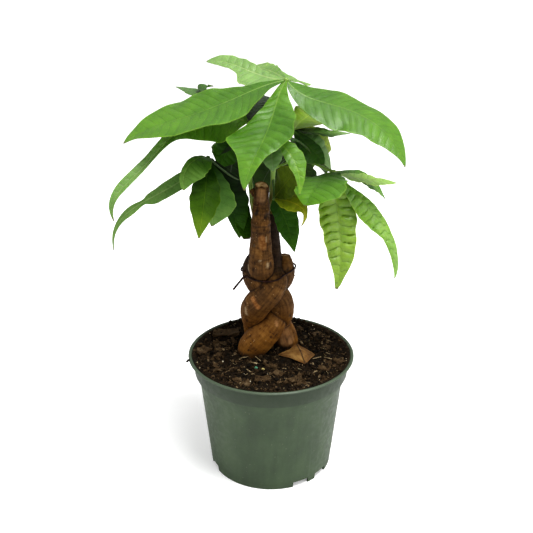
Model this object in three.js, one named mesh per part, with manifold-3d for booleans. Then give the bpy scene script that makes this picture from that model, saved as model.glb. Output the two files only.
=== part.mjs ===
// A potted money tree: four stems braided into one trunk, with palmate leaves on green shoots,
// in a round grower's pot. Millimetres, +Z up. The origin is the centre of the pot's base, on
// the surface that the pot stands on. +X is to the right and -Y is to the front.
import * as THREE from 'three';
import * as BufferGeometryUtils from 'three/addons/utils/BufferGeometryUtils.js';
import Module from 'manifold-3d';

const wasm = await Module();
wasm.setup();

// Driving dimensions -------------------------------------------------------------------------

const gap = 0.3;                 // clear space between neighbouring pieces
const roundSegments = 36;        // flats round the pot and the soil

const potSize = {
  height: 111.8,
  lipRadius: 76.2,               // a pot of 6 inches across the lip
  lipInnerRadius: 73.4,
  lipThickness: 2,
  collarRadius: 71,
  flareBottom: 107.4,            // height where the collar starts to turn outwards into the lip
  collarBottom: 94.8,            // height of the faint edge where the collar starts to step in
  stepBottom: 85.2,              // height of the foot of the slanted step
  stepRadius: 66.1,
  baseRadius: 57.1,
  wall: 1.5,
  floorUnderside: 4.8,
  floorThickness: 1.6,
  centreFlatRadius: 30,          // the middle of the floor reaches down to the surface
};

const slotSize = {
  width: 15.5,
  height: 5.2,
  pairSpread: 24.4,              // degrees between the two slots of a pair
  pairs: [40.6, 160.6, 280.6],   // degrees from the front towards the right
};

const soilSize = {
  top: 105.9,                    // height in the middle
  edgeRise: 4.4,                 // how much higher it lies near the lip
  lump: 1.1,                     // how far the surface rises and falls
  chips: 14,
  chipLength: [6, 15],
  chipWidth: [3, 7],
  chipThickness: 2,
  trunkClear: 31,                // no chip lies nearer than this to the trunk's axis
  trunkAxis: [-3.5, 18],
};

// Each stem from its cut top down into the soil: x, y, z and radius, chosen along its middle.
const stemPaths = {
  stem_front: [
    [-8, 8, 270, 5.6], [-8.6, 8, 260, 6.4], [-9, 7.5, 240, 7.8], [-9.4, 7, 217, 9.4],
    [-9.4, 6.6, 201, 11], [-9, 8.2, 191, 11.9], [-5.5, 17, 182, 11.4], [0, 25, 170, 11.2],
    [6, 27, 156, 11.2], [5, 21, 144, 11.4], [1, 13.5, 133, 12.4], [-8, 10, 122, 13.4],
    [-16.5, 11, 111, 13.8], [-19.5, 13.5, 99, 12.5], [-20, 16, 86, 9],
  ],
  stem_right: [
    [-2.6, 21, 239, 7.2], [-1.6, 20.5, 228, 7.9], [-0.8, 20, 213, 8.8], [-0.2, 18.5, 200, 9.8],
    [0.6, 15, 188, 10.8], [3.4, 9.4, 177, 11.8], [-3.4, 5.8, 167, 12.8], [-12, 8, 156, 13.2],
    [-16, 16, 144, 12.6], [-15, 26, 131, 12], [-13.5, 32, 117, 12], [-13.5, 33, 103, 12],
    [-14, 33, 88, 9],
  ],
  stem_left: [
    [-9, 23.5, 226, 6.6], [-8.4, 24, 214, 7.4], [-8.6, 23.4, 202, 8.6], [-14.4, 15.6, 187, 11.8],
    [-11.6, 12.6, 177, 12.3], [-2, 18, 166, 12], [7.6, 17, 156, 12], [10, 17, 146, 11.6],
    [8, 25, 135, 11.6], [3, 33, 122, 12], [0, 37, 106, 12], [0, 37, 88, 9],
  ],
  stem_short: [
    [12.4, 20.5, 199, 4.6], [12.2, 20, 194, 7.4], [11, 18.6, 186, 10.8], [8.5, 25, 174, 11.6],
    [0, 33, 162, 12], [-9, 33, 148, 12], [-5, 34, 135, 12], [7, 31, 124, 12],
    [13.8, 26.5, 112, 12], [15, 26.5, 100, 11.5], [15, 27, 87, 9],
  ],
};
const stemSides = 10;
const stemSteps = 25;
const frontCut = { point: [-8.2, 8, 267.4], normal: [0.12, -0.34, 1] };
const sideStub = [[-11, 9, 257, 3], [-14.6, 9.5, 259.6, 2.8], [-17, 10, 263, 2.5]];

const wireRadius = 0.7;
const wireSteps = 44;
const wirePath = [
  [-33.6, -4, 175.4], [-29.4, 2.6, 180.4], [-23.4, 5, 184], [-15.8, 0.5, 182.7],
  [-8, -0.6, 181.7], [-1, -1.6, 181.9], [6.4, -0.8, 183.6], [11.9, 4.4, 185.8],
  [18.9, 10.3, 187.6], [22.3, 20.1, 188.8], [15.9, 28.8, 189.4], [2.9, 27.6, 189.4],
  [-8.4, 28.8, 188.4], [-17, 28.9, 187.8], [-24.9, 23, 187.2], [-27.2, 13.2, 187],
  [-24.4, 7.2, 188.4],
];

// Shoots: x, y, z and radius from the cut stem upwards.
const shootPaths = {
  shoot_right: [[-1.8, 21, 239.5, 2.4], [0.4, 18.5, 258, 2.2], [2, 15, 288, 1.9], [3, 13, 318, 1.5]],
  shoot_left: [[-12.4, 24.4, 226.4, 2.1], [-16.4, 20.5, 245, 2], [-18.4, 17.5, 274, 1.8], [-18, 16, 303, 1.4]],
};

// Leaves. Each petiole runs from its shoot by its points to the hub, where the leaflets meet.
// A leaflet follows its midrib from the hub by evenly spaced points to its tip. Its width is at
// its widest; where its two edges differ, widths has rows of the place along it, as a share, and
// the reach of its two halves there. Roll turns it about its midrib, in degrees, at places spread
// evenly from hub to tip. Heading, in degrees from +X towards +Y, is given where a leaflet hangs
// too steeply to show which way it faces. Fold is how far its halves rise from the midrib, as a
// share of their reach.
const bladeThickness = 0.8;
const petioleRadius = 1.1;
const hubRadius = 2.1;

const leaves = {
  leaf_top: {
    green: 0x5fa13c,
    petiole: [[3, 13, 318], [7, 12, 338]],
    hub: [11.7, 5, 356.7],
    leaflets: [
      { roll: [-20, -14],
        path: [[-21.6, -3, 346.7], [-52, -11, 335.4], [-87, -18, 324.9], [-118.5, -24, 310.8]],
        widths: [[0, 1, 1], [0.1, 8, 5], [0.22, 21, 13], [0.38, 31, 22], [0.52, 32, 28],
          [0.68, 25, 28], [0.82, 16, 18.5], [0.93, 6, 8.5], [1, 0.5, 0.5]] },
      { roll: [0, 4],
        path: [[2.9, -20, 339.9], [-3.8, -44, 324.1], [-12.9, -62, 308.1], [-20.8, -76, 286.7]],
        widths: [[0, 1, 1], [0.17, 9, 7], [0.33, 18, 12], [0.43, 21, 19], [0.55, 22, 29],
          [0.62, 16, 31], [0.7, 10, 23], [0.8, 7, 13], [0.92, 3.5, 6], [1, 0.5, 0.5]] },
      { roll: [26, 14], fold: -0.1,
        path: [[37.8, -5, 341.4], [66.5, -15, 333.9], [91.9, -28, 318.1], [104.8, -40, 295.6]],
        widths: [[0, 1, 1], [0.1, 13, 8], [0.25, 22, 19], [0.42, 22.5, 24], [0.58, 22.5, 22],
          [0.72, 18.5, 16], [0.84, 12, 9], [0.94, 4.5, 3.5], [1, 0.5, 0.5]] },
      { roll: [-30, -36], path: [[-11.3, 22, 358.9], [-33.7, 42, 364.7], [-56.6, 58, 365.4]],
        widths: [[0, 1, 1], [0.12, 9, 3], [0.3, 16, 6], [0.44, 15, 8], [0.54, 7.5, 9],
          [0.7, 5.5, 9.5], [0.84, 4.5, 7.5], [0.95, 2.6, 3.4], [1, 0.5, 0.5]] },
      { roll: [-26, -20], path: [[-2.5, 45, 359.4], [-18.4, 84, 357.6]],
        widths: [[0, 1, 1], [0.2, 6, 4], [0.4, 11, 7], [0.6, 13, 9.5], [0.8, 12, 8.5], [0.93, 7, 5],
          [1, 1, 1]] },
      { width: 26, roll: [26, 20], path: [[19.5, 42, 352.6], [31.8, 80, 342]] },
    ],
  },
  leaf_left_high: {
    green: 0x4d8f30,
    petiole: [[-18, 16, 300], [-17, 17, 310]],
    hub: [-19.8, 15, 320.6],
    leaflets: [
      { roll: [-48, -48, -40, -30], fold: [0.1, 0.1, 0.5, 0.6],
        path: [[-50.1, 8, 325.3], [-77.7, -6, 315.9], [-98.4, -20, 296.7], [-119, -32, 277.4],
          [-127.6, -40, 251]],
        widths: [[0, 1, 1], [0.08, 11, 8], [0.16, 22, 12], [0.25, 21, 13], [0.34, 14, 11],
          [0.42, 6, 7], [0.48, 3.2, 5], [0.6, 2.6, 5], [0.8, 3.6, 4.6], [0.92, 2.6, 2.8],
          [1, 0.4, 0.4]] },
      { width: 18, roll: [0, 0], path: [[-58.6, 55, 335.2], [-88.7, 92, 338.8]] },
      { roll: [0, 30], path: [[-39.2, 36, 328.6], [-59.9, 62, 338.6], [-52.4, 78, 341.4]],
        widths: [[0, 1, 1], [0.3, 4, 4], [0.6, 5.5, 5.5], [0.8, 4.5, 4.5], [0.93, 1.5, 1.5],
          [1, 0.3, 0.3]] },
      { width: 30, roll: [0, 0], path: [[-13.3, 38, 329.3], [-7.4, 72, 334.3]] },
    ],
  },
  leaf_left_low: {
    green: 0x4a8a2e,
    petiole: [[-16.5, 18.5, 268], [-29.7, 14, 271.5]],
    hub: [-53.6, 5, 292.2],
    leaflets: [
      { roll: [-10, -20, -40], path: [[-62, -5, 293.7], [-70.5, -14, 286.6], [-72.2, -20, 270.9]],
        widths: [[0, 1, 1], [0.12, 8, 3], [0.3, 16, 4], [0.5, 18, 4], [0.7, 16, 3.5], [0.85, 11, 3],
          [0.95, 5, 2], [1, 0.5, 0.5]] },
      { roll: [-50, -44, -20],
        path: [[-75.7, -4, 274.9], [-101, -12, 262.1], [-124.5, -18, 246.9], [-132.9, -24, 219.6]],
        widths: [[0, 1, 1], [0.1, 3, 3], [0.25, 7, 7], [0.37, 7, 6.5], [0.46, 7.5, 5.5],
          [0.51, 6, 4.5], [0.56, 2.6, 2.4], [0.63, 4, 3.4], [0.7, 4.4, 3.6], [0.78, 3.4, 2.8],
          [0.86, 2.4, 2], [0.94, 1.3, 1.2], [1, 0.4, 0.4]] },
      { roll: [0, 0], heading: -110, path: [[-55.5, -14, 265.3], [-61.6, -17, 228]],
        widths: [[0, 1, 1], [0.1, 3, 3], [0.25, 8, 9], [0.4, 13, 12.5], [0.55, 14, 13],
          [0.7, 11, 11.5], [0.85, 5.5, 7], [0.95, 2, 2.6], [1, 0.5, 0.5]] },
      { roll: [0, 0], heading: -70, path: [[-49.5, -3, 266.5], [-51.4, -1, 233.7]],
        widths: [[0, 1, 1], [0.2, 6, 4], [0.4, 13, 6], [0.6, 18, 7], [0.75, 20, 6.5], [0.86, 15, 5],
          [0.94, 7, 3], [1, 1, 1]] },
      { roll: [0, 0], heading: -80, path: [[-37.8, 14, 256.3], [-28.4, 16, 216.7]],
        widths: [[0, 1, 1], [0.2, 8, 4], [0.4, 16, 6], [0.6, 16, 7.5], [0.75, 12, 6], [0.88, 7, 4],
          [1, 0.5, 0.5]] },
      { width: 20, roll: [0, 0], path: [[-60.2, 30, 279], [-68.2, 42, 254.7]] },
      { roll: [0, 0], heading: -60, path: [[-31.8, 21, 253.9], [-22, 15, 216]],
        widths: [[0, 1, 1], [0.2, 6, 6], [0.5, 8, 9], [0.75, 8, 9], [0.9, 7, 8], [1, 3, 3]] },
    ],
  },
  leaf_right_low: {
    green: 0x6aae3a,
    petiole: [[1.2, 16.5, 280], [24, 14, 288]],
    hub: [52.7, 0, 281.3],
    leaflets: [
      { roll: [8, 8], path: [[79.1, 6, 273.8], [107.1, 8, 269.6]],
        widths: [[0, 1, 1], [0.1, 5, 5], [0.25, 8.5, 11], [0.45, 9, 13], [0.62, 9, 12], [0.78, 7, 9],
          [0.9, 4, 5], [1, 0.5, 0.5]] },
      { width: 18, roll: [30, 40], path: [[82.5, 18, 269.6], [102, 30, 249]] },
      { roll: [14, 30], fold: -0.3,
        path: [[71.4, -10, 263.8], [88.6, -22, 247.7], [101, -32, 223.9], [102.5, -40, 200.7]],
        widths: [[0, 1, 1], [0.1, 4, 3], [0.2, 6.5, 6.5], [0.3, 7.5, 10], [0.4, 7.5, 11.5],
          [0.5, 7, 11], [0.6, 6, 8], [0.67, 5, 5], [0.78, 4, 3.6], [0.9, 2.4, 2.2], [1, 0.4, 0.4]] },
      { roll: [0, 0], heading: -88, path: [[56.1, -12, 250.7], [58.9, -24, 220.1], [55.2, -30, 186.9]],
        widths: [[0, 1, 1], [0.1, 4, 5], [0.2, 11, 12], [0.33, 15, 17], [0.49, 13.5, 15.5],
          [0.67, 11.5, 12.7], [0.8, 8.4, 8.5], [0.88, 4.8, 5], [0.96, 2.6, 2.6], [1, 1, 1]] },
      { roll: [10, 10], heading: -112, path: [[38.6, -24, 277.5], [26.6, -42, 264.3]],
        widths: [[0, 1, 1], [0.2, 12, 8], [0.4, 23, 15], [0.6, 28, 18], [0.78, 25, 15],
          [0.92, 13, 7], [1, 1, 1]] },
    ],
  },
  leaf_right_high: {
    green: 0x5c9a38,
    petiole: [[2.2, 14.5, 296], [9, 16, 306]],
    hub: [18.2, 15, 314],
    leaflets: [
      { width: 20, roll: [14, 4], path: [[41.5, 20, 310.7], [68, 28, 308.3]] },
      { roll: [14, 10], path: [[38, 46, 322], [56, 80, 310]],
        widths: [[0, 1, 1], [0.2, 8, 14], [0.4, 16, 24], [0.6, 18, 26], [0.8, 12, 16], [0.92, 6, 6],
          [1, 1, 1]] },
      { width: 26, roll: [48, 48], path: [[41.6, 31, 301.4], [53, 38, 291.6]] },
      { width: 24, roll: [46, 36], path: [[33, 2, 301], [43.6, -9, 290]] },
      { width: 22, roll: [44, 40], path: [[38, 17, 300], [52, 22, 278]] },
    ],
  },
  leaf_centre: {
    green: 0x74b340,
    petiole: [[2.1, 14.8, 292], [0, -6, 308]],
    hub: [1.6, -25, 313.5],
    leaflets: [
      { roll: [20, 30], path: [[11.1, -38, 309.5], [19.4, -50, 297.3], [21.2, -57, 277.7]],
        widths: [[0, 1, 1], [0.15, 5, 3], [0.3, 7.5, 4.5], [0.45, 8.5, 5.5], [0.6, 8.5, 5.6],
          [0.75, 5.5, 3.6], [0.9, 2.2, 1.8], [1, 0.4, 0.4]] },
      { width: 16, roll: [0, 0], path: [[0, -42, 306], [0.9, -48, 293.9]] },
      { width: 22, roll: [0, 0], path: [[-8.5, -40, 310], [-20, -46, 296]] },
      { width: 20, roll: [0, 0], path: [[18, -16, 312], [32, -14, 301]] },
      { width: 20, roll: [0, 0], path: [[-16, -14, 314], [-30, -6, 303]] },
    ],
  },
  leaf_low: {
    green: 0x6f7d22,
    petiole: [[1.4, 17, 272], [2.2, 11, 263]],
    hub: [2.5, 6, 256.4],
    leaflets: [
      { width: 30, roll: [60, 80], path: [[11.5, -1, 271], [21.5, -9, 285.5]] },
      { roll: [20, 30],
        path: [[13.3, -2, 256.5], [23.3, -8, 253.9], [28.3, -12, 248.1], [25.5, -13, 237.7]],
        widths: [[0, 1, 1], [0.12, 6, 5], [0.26, 11, 10], [0.42, 11, 10], [0.56, 7, 6],
          [0.7, 3, 2.4], [0.85, 1.6, 1.4], [1, 0.3, 0.3]] },
      { roll: [0, 0], heading: -75, path: [[12.8, 6, 235], [20.5, 5, 207.5]],
        widths: [[0, 1, 1], [0.15, 6, 3], [0.3, 11, 6], [0.45, 12, 9], [0.6, 10.5, 9],
          [0.75, 7.6, 6.6], [0.88, 4.2, 3.4], [0.95, 2, 1.6], [1, 0.4, 0.4]] },
    ],
  },
  leaf_back_left: {
    green: 0x508f33,
    petiole: [[-17.6, 17.4, 280], [-22, 34, 292]],
    hub: [-30, 52, 300],
    leaflets: [
      { width: 30, roll: [0, 0], path: [[-62, 66, 308], [-88, 92, 300]] },
      { width: 30, roll: [0, 0], path: [[-40.4, 80, 285.8], [-45.5, 98, 266.1]] },
      { width: 32, roll: [0, 0], path: [[-20, 82, 292], [-12, 97, 252]] },
      { width: 26, roll: [0, 0], path: [[-12, 51, 312], [9, 52, 318]] },
      { width: 26, roll: [0, 0], heading: -100, path: [[-39.3, 58, 287], [-48.1, 60, 269.7]] },
      { width: 34, roll: [0, 0], heading: 90, path: [[-37.2, 64, 266.8], [-42.8, 70, 233.1]] },
    ],
  },
  leaf_back_right: {
    green: 0x5c9a38,
    petiole: [[1.2, 16.6, 278], [12, 34, 284]],
    hub: [24, 50, 288],
    leaflets: [
      { width: 28, roll: [0, 0], path: [[39.3, 58, 279.6], [51.7, 70, 261.4]] },
      { width: 32, roll: [0, 0], path: [[34, 80, 288], [40, 100, 258]] },
      { width: 30, roll: [0, 0], path: [[10, 78, 284], [4, 94, 250]] },
      { width: 26, roll: [0, 0], heading: 70, path: [[30, 62, 262], [32, 68, 230]] },
      { width: 28, roll: [0, 0], heading: 90, path: [[5, 58, 273], [-9, 62, 250]] },
    ],
  },
};

// A dry leaf that lies folded on the soil: a ridge between two low tips.
const fallenLeaf = {
  leftTip: [7, 1, 107.2],
  ridge: [27.8, -3, 110.5],
  rightTip: [40.5, 1, 107.4],
  ridgeRun: [7, -30, -5],        // along the ridge, from its back end to its front end
};

// Materials ----------------------------------------------------------------------------------

const finish = (color, roughness) => new THREE.MeshStandardMaterial({ color, roughness, metalness: 0 });
const potPlastic = finish(0x62745c, 0.55);
const pottingMix = finish(0x33241a, 1);
const bark = finish(0x7a4f2a, 0.8);
const darkTie = finish(0x2b2422, 0.6);
const greenStem = finish(0x6f9a3c, 0.5);
const dryLeaf = finish(0xa07a3c, 0.8);

// Solids -------------------------------------------------------------------------------------

const vector = ([x, y, z]) => new THREE.Vector3(x, y, z);

function randomFrom(seed) {
  let state = seed >>> 0;
  return () => {
    state = (state * 1664525 + 1013904223) >>> 0;
    return state / 4294967296;
  };
}

function solid(geometry) {
  const bare = geometry.clone();
  for (const name of Object.keys(bare.attributes)) {
    if (name !== 'position') bare.deleteAttribute(name);
  }
  const merged = BufferGeometryUtils.mergeVertices(bare, 1e-4);
  return new wasm.Manifold(new wasm.Mesh({
    numProp: 3,
    vertProperties: new Float32Array(merged.attributes.position.array),
    triVerts: new Uint32Array(merged.index.array),
  }));
}

function geometryOf(body) {
  const mesh = body.getMesh();
  const geometry = new THREE.BufferGeometry();
  geometry.setAttribute('position', new THREE.BufferAttribute(mesh.vertProperties, 3));
  geometry.setIndex(new THREE.BufferAttribute(mesh.triVerts, 1));
  geometry.computeVertexNormals();
  return geometry;
}

// The largest piece of a cut body: the slivers that a cut leaves loose are dropped.
function largest(body) {
  const parts = body.decompose();
  return parts.reduce((best, part) => (part.volume() > best.volume() ? part : best));
}

function fromTriangles(points, triangles) {
  const geometry = new THREE.BufferGeometry();
  geometry.setAttribute('position', new THREE.Float32BufferAttribute(points.flatMap((p) => p.toArray()), 3));
  geometry.setIndex(triangles.flat());
  return solid(geometry);
}

// Joins rings of equal length into a closed body, each end closed by a fan round its middle.
function throughRings(rings) {
  const count = rings[0].length;
  const points = rings.flat();
  const triangles = [];
  for (let i = 0; i + 1 < rings.length; i += 1) {
    for (let j = 0; j < count; j += 1) {
      const a = i * count + j;
      const b = i * count + ((j + 1) % count);
      triangles.push([a, b, b + count], [a, b + count, a + count]);
    }
  }
  const middle = (ring) => ring.reduce((sum, p) => sum.add(p), new THREE.Vector3()).divideScalar(count);
  const last = (rings.length - 1) * count;
  points.push(middle(rings[0]), middle(rings[rings.length - 1]));
  for (let j = 0; j < count; j += 1) {
    const k = (j + 1) % count;
    triangles.push([rings.length * count, k, j], [rings.length * count + 1, last + j, last + k]);
  }
  return fromTriangles(points, triangles);
}

function radiusAlong(path, t) {
  const place = t * (path.length - 1);
  const i = Math.min(Math.floor(place), path.length - 2);
  return THREE.MathUtils.lerp(path[i][3], path[i + 1][3], place - i);
}

// A round rod through points that hold x, y, z and radius. grow makes it larger all round.
function rod(path, sides, steps, grow = 0) {
  const curve = new THREE.CatmullRomCurve3(path.map(vector));
  const frames = curve.computeFrenetFrames(steps, false);
  const rings = [];
  for (let i = 0; i <= steps; i += 1) {
    const t = curve.getUtoTmapping(i / steps);
    const middle = curve.getPoint(t);
    if (i === 0) middle.addScaledVector(frames.tangents[i], -grow);
    if (i === steps) middle.addScaledVector(frames.tangents[i], grow);
    const radius = radiusAlong(path, t) + grow;
    const ring = [];
    for (let j = 0; j < sides; j += 1) {
      const turn = (j / sides) * 2 * Math.PI;
      ring.push(middle.clone()
        .addScaledVector(frames.normals[i], radius * Math.cos(turn))
        .addScaledVector(frames.binormals[i], radius * Math.sin(turn)));
    }
    rings.push(ring);
  }
  return throughRings(rings);
}

const evenRod = (points, radius, sides, steps, grow = 0) => rod(
  points.map((p) => [...p, radius]), sides, steps, grow,
);

function boxAt(size, placement) {
  const geometry = new THREE.BoxGeometry(...size);
  geometry.applyMatrix4(placement);
  return solid(geometry);
}

// Pot ----------------------------------------------------------------------------------------

// The inner face of the pot's wall, from the floor up to the lip.
function potInside() {
  const s = potSize;
  const floorTop = s.floorUnderside + s.floorThickness;
  const rise = (s.stepRadius - s.baseRadius) / s.stepBottom;
  return [
    [s.baseRadius + rise * floorTop - s.wall, floorTop],
    [s.stepRadius - s.wall, s.stepBottom - 0.6],
    [s.collarRadius - s.wall, s.collarBottom - 0.6],
    [s.collarRadius - s.wall + 0.2, s.flareBottom + 0.9],
    [s.lipInnerRadius, s.height - 0.7],
  ];
}

function makePot() {
  const s = potSize;
  const floorTop = s.floorUnderside + s.floorThickness;
  const footSlope = s.floorUnderside;
  const profile = [
    [0, 0],
    [s.centreFlatRadius, 0],
    [s.centreFlatRadius + footSlope, s.floorUnderside],
    [s.baseRadius - s.wall, s.floorUnderside],
    [s.baseRadius - s.wall - 0.2, 0],
    [s.baseRadius, 0],
    [s.stepRadius, s.stepBottom],
    [s.collarRadius - 0.3, s.collarBottom],
    [s.collarRadius, s.flareBottom],
    [s.lipInnerRadius + 0.2, s.height - s.lipThickness],
    [s.lipRadius - 0.5, s.height - s.lipThickness],
    [s.lipRadius, s.height - s.lipThickness + 0.6],
    [s.lipRadius, s.height - 0.8],
    [s.lipRadius - 0.9, s.height],
    [s.lipInnerRadius + 0.8, s.height],
    ...potInside().reverse(),
    [s.centreFlatRadius + footSlope, floorTop],
    [s.centreFlatRadius, s.floorThickness],
    [0, s.floorThickness],
  ];
  const outline = profile.map(([radius, z]) => new THREE.Vector2(radius, z));
  const lathe = new THREE.LatheGeometry(outline, roundSegments);
  lathe.rotateX(Math.PI / 2);
  let body = solid(lathe);
  for (const pair of slotSize.pairs) {
    for (const side of [-0.5, 0.5]) {
      body = body.subtract(drainSlot(pair + side * slotSize.pairSpread));
    }
  }
  return body;
}

// One drain slot: a notch in the foot of the wall, with a slot through the floor behind it.
function drainSlot(degrees) {
  const turn = new THREE.Matrix4().makeRotationZ(THREE.MathUtils.degToRad(degrees));
  const notchDepth = 8;
  const notchMiddle = potSize.baseRadius;
  const floorSlotDepth = 4;
  const below = 2;
  const place = (radius, z) => turn.clone().multiply(new THREE.Matrix4().makeTranslation(0, -radius, z));
  const notchHeight = slotSize.height + below;
  const notch = boxAt(
    [slotSize.width, notchDepth, notchHeight],
    place(notchMiddle, slotSize.height - notchHeight / 2),
  );
  const floorSlot = boxAt(
    [slotSize.width, floorSlotDepth, 2 * potSize.floorUnderside],
    place(notchMiddle - potSize.wall - floorSlotDepth / 2 - 0.6, potSize.floorUnderside),
  );
  return notch.add(floorSlot);
}

// Soil ---------------------------------------------------------------------------------------

function soilHeight(x, y) {
  const wave = (a, b, shift) => Math.sin(x * a + shift) * Math.cos(y * b - shift);
  const rough = wave(0.11, 0.13, 0.4) + 0.7 * wave(0.27, 0.21, 1.9) + 0.5 * wave(0.52, 0.61, 3.1);
  const share = Math.hypot(x, y) / potSize.collarRadius;
  return soilSize.top + soilSize.edgeRise * share ** 3 + soilSize.lump * rough;
}

function makeSoil() {
  const inside = potInside();
  const [floorRadius, floorTop] = inside[0];
  const around = (radius, heightAt) => {
    const ring = [];
    for (let j = 0; j < roundSegments; j += 1) {
      const turn = (j / roundSegments) * 2 * Math.PI;
      const x = radius * Math.sin(turn);
      const y = radius * Math.cos(turn);
      ring.push(new THREE.Vector3(x, y, heightAt(x, y)));
    }
    return ring;
  };
  const wallRings = [
    around(floorRadius - gap - 3.5, () => floorTop + gap),
    around(floorRadius - gap + 0.3, () => floorTop + gap + 3),
    around(inside[1][0] - gap, () => inside[1][1]),
    around(inside[2][0] - gap - 0.2, () => inside[2][1]),
    around(inside[3][0] - gap - 0.2, () => inside[3][1] + 0.1),
    around(inside[4][0] - gap - 0.1, () => inside[4][1] + 0.2),
  ];
  const edge = inside[3][0] - gap - 0.2;
  const rings = [0.97, 0.84, 0.7, 0.55, 0.37, 0.16]
    .map((share) => around(edge * share, soilHeight));
  let body = throughRings([...wallRings, ...rings].reverse());
  for (const chip of barkChips()) body = body.add(chip);
  return body;
}

// Bark chips and lumps, sunk to about half of their thickness into the soil.
function barkChips() {
  const random = randomFrom(20);
  const between = ([low, high]) => low + (high - low) * random();
  const [trunkX, trunkY] = soilSize.trunkAxis;
  const chips = [];
  while (chips.length < soilSize.chips) {
    const radius = 62 * Math.sqrt(random());
    const turn = random() * 2 * Math.PI;
    const x = radius * Math.cos(turn);
    const y = radius * Math.sin(turn);
    const size = [between(soilSize.chipLength), between(soilSize.chipWidth), soilSize.chipThickness];
    const tilt = new THREE.Euler((random() - 0.5) * 0.5, (random() - 0.5) * 0.5, random() * Math.PI);
    const nearTrunk = Math.hypot(x - trunkX, y - trunkY) < soilSize.trunkClear;
    const nearLeaf = Math.hypot(x - fallenLeaf.ridge[0], y - fallenLeaf.ridge[1]) < 24;
    if (nearTrunk || nearLeaf) continue;
    const place = new THREE.Matrix4().makeRotationFromEuler(tilt);
    place.setPosition(x, y, soilHeight(x, y) + 0.4);
    chips.push(boxAt(size, place));
  }
  return chips;
}

// Leaves -------------------------------------------------------------------------------------

// The curve through three or four points that are evenly spaced along it.
function along(points, t) {
  const last = points.length - 1;
  const sum = new THREE.Vector3();
  points.forEach((point, i) => {
    let weight = 1;
    points.forEach((_, k) => {
      if (k !== i) weight *= (t * last - k) / (i - k);
    });
    sum.addScaledVector(point, weight);
  });
  return sum;
}

// Half-width of a leaflet as a share of its widest: wedge-shaped at the foot, drawn-out tip.
const leafletOutline = [
  [0, 0.05], [0.08, 0.16], [0.2, 0.5], [0.35, 0.84], [0.5, 1],
  [0.62, 0.98], [0.75, 0.8], [0.86, 0.5], [0.94, 0.22], [1, 0.03],
];

// The reach of both halves at t, on a smooth curve through the rows of the table.
function halvesAt(table, t) {
  const last = table.length - 1;
  const i = Math.max(table.findIndex(([place]) => place >= t), 1);
  const span = table[i][0] - table[i - 1][0];
  const u = (t - table[i - 1][0]) / span;
  return [1, 2].map((half) => {
    const slope = (k) => {
      const before = table[Math.max(k - 1, 0)];
      const after = table[Math.min(k + 1, last)];
      return ((after[half] - before[half]) / (after[0] - before[0])) * span;
    };
    return table[i - 1][half] * (2 * u ** 3 - 3 * u ** 2 + 1) + slope(i - 1) * (u ** 3 - 2 * u ** 2 + u)
      + table[i][half] * (3 * u ** 2 - 2 * u ** 3) + slope(i) * (u ** 3 - u ** 2);
  });
}

// One value, or several that are spread evenly over the leaflet.
function between(values, t) {
  if (!Array.isArray(values)) return values;
  const place = t * (values.length - 1);
  const i = Math.min(Math.floor(place), values.length - 2);
  return THREE.MathUtils.lerp(values[i], values[i + 1], place - i);
}

// A thin blade along a midrib. rows hold, for each station, the points across it from one edge
// to the other; both faces are split into triangles along the same diagonals.
function bladeThroughRows(rows, normals, thickness) {
  const across = rows[0].length;
  const size = rows.length * across;
  const points = [];
  for (const side of [0.5, -0.5]) {
    rows.forEach((row, i) => {
      for (const point of row) points.push(point.clone().addScaledVector(normals[i], side * thickness));
    });
  }
  const triangles = [];
  const quad = (a, b, c, d) => triangles.push([a, b, c], [a, c, d]);
  for (let i = 0; i + 1 < rows.length; i += 1) {
    for (let j = 0; j + 1 < across; j += 1) {
      const a = i * across + j;
      const b = a + across;
      quad(a, a + 1, b + 1, b);
      triangles.push([a + size, b + 1 + size, a + 1 + size], [a + size, b + size, b + 1 + size]);
    }
    const left = i * across;
    const right = left + across - 1;
    quad(left, left + across, left + across + size, left + size);
    quad(right, right + size, right + across + size, right + across);
  }
  const end = (rows.length - 1) * across;
  for (let j = 0; j + 1 < across; j += 1) {
    quad(j, j + size, j + 1 + size, j + 1);
    quad(end + j, end + j + 1, end + j + 1 + size, end + j + size);
  }
  return fromTriangles(points, triangles);
}

function leaflet(hub, { width, widths, roll, heading, fold = 0.12, path }, index) {
  const table = widths ?? leafletOutline.map(([t, share]) => [t, (width / 2) * share, (width / 2) * share]);
  const widest = Math.max(...table.map(([, one, other]) => one + other));
  const points = [hub, ...path].map(vector);
  const tip = points[points.length - 1];
  const ahead = heading === undefined
    ? Math.atan2(tip.y - points[0].y, tip.x - points[0].x)
    : THREE.MathUtils.degToRad(heading);
  const level = new THREE.Vector3(Math.sin(ahead), -Math.cos(ahead), 0);
  const length = points[0].distanceTo(tip);
  const steps = Math.max(6, Math.round(length / 10));
  const strips = widest > 30 ? 4 : 2;
  const waveHeight = 0.035 * widest;
  const rows = [];
  const normals = [];
  for (let i = 0; i <= steps; i += 1) {
    const t = i / steps;
    const middle = along(points, t);
    const tangent = along(points, t + 0.01).sub(along(points, t - 0.01)).normalize();
    const side = level.clone().addScaledVector(tangent, -level.dot(tangent)).normalize();
    side.applyAxisAngle(tangent, THREE.MathUtils.degToRad(between(roll, t)));
    const normal = new THREE.Vector3().crossVectors(side, tangent);
    const halves = halvesAt(table, t);
    const row = [];
    for (let j = 0; j <= strips; j += 1) {
      const s = (2 * j) / strips - 1;
      const half = halves[s < 0 ? 0 : 1];
      const wave = waveHeight * s * s * Math.sin(t * 16 + index * 1.7 + s) * Math.sin(Math.PI * t);
      const rise = half * (between(fold, t) * Math.abs(s) - 0.06 * s * s) + wave * Math.min(1, half / 8);
      row.push(middle.clone().addScaledVector(side, half * s).addScaledVector(normal, rise));
    }
    rows.push(row);
    normals.push(normal);
  }
  return bladeThroughRows(rows, normals, bladeThickness);
}

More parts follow.
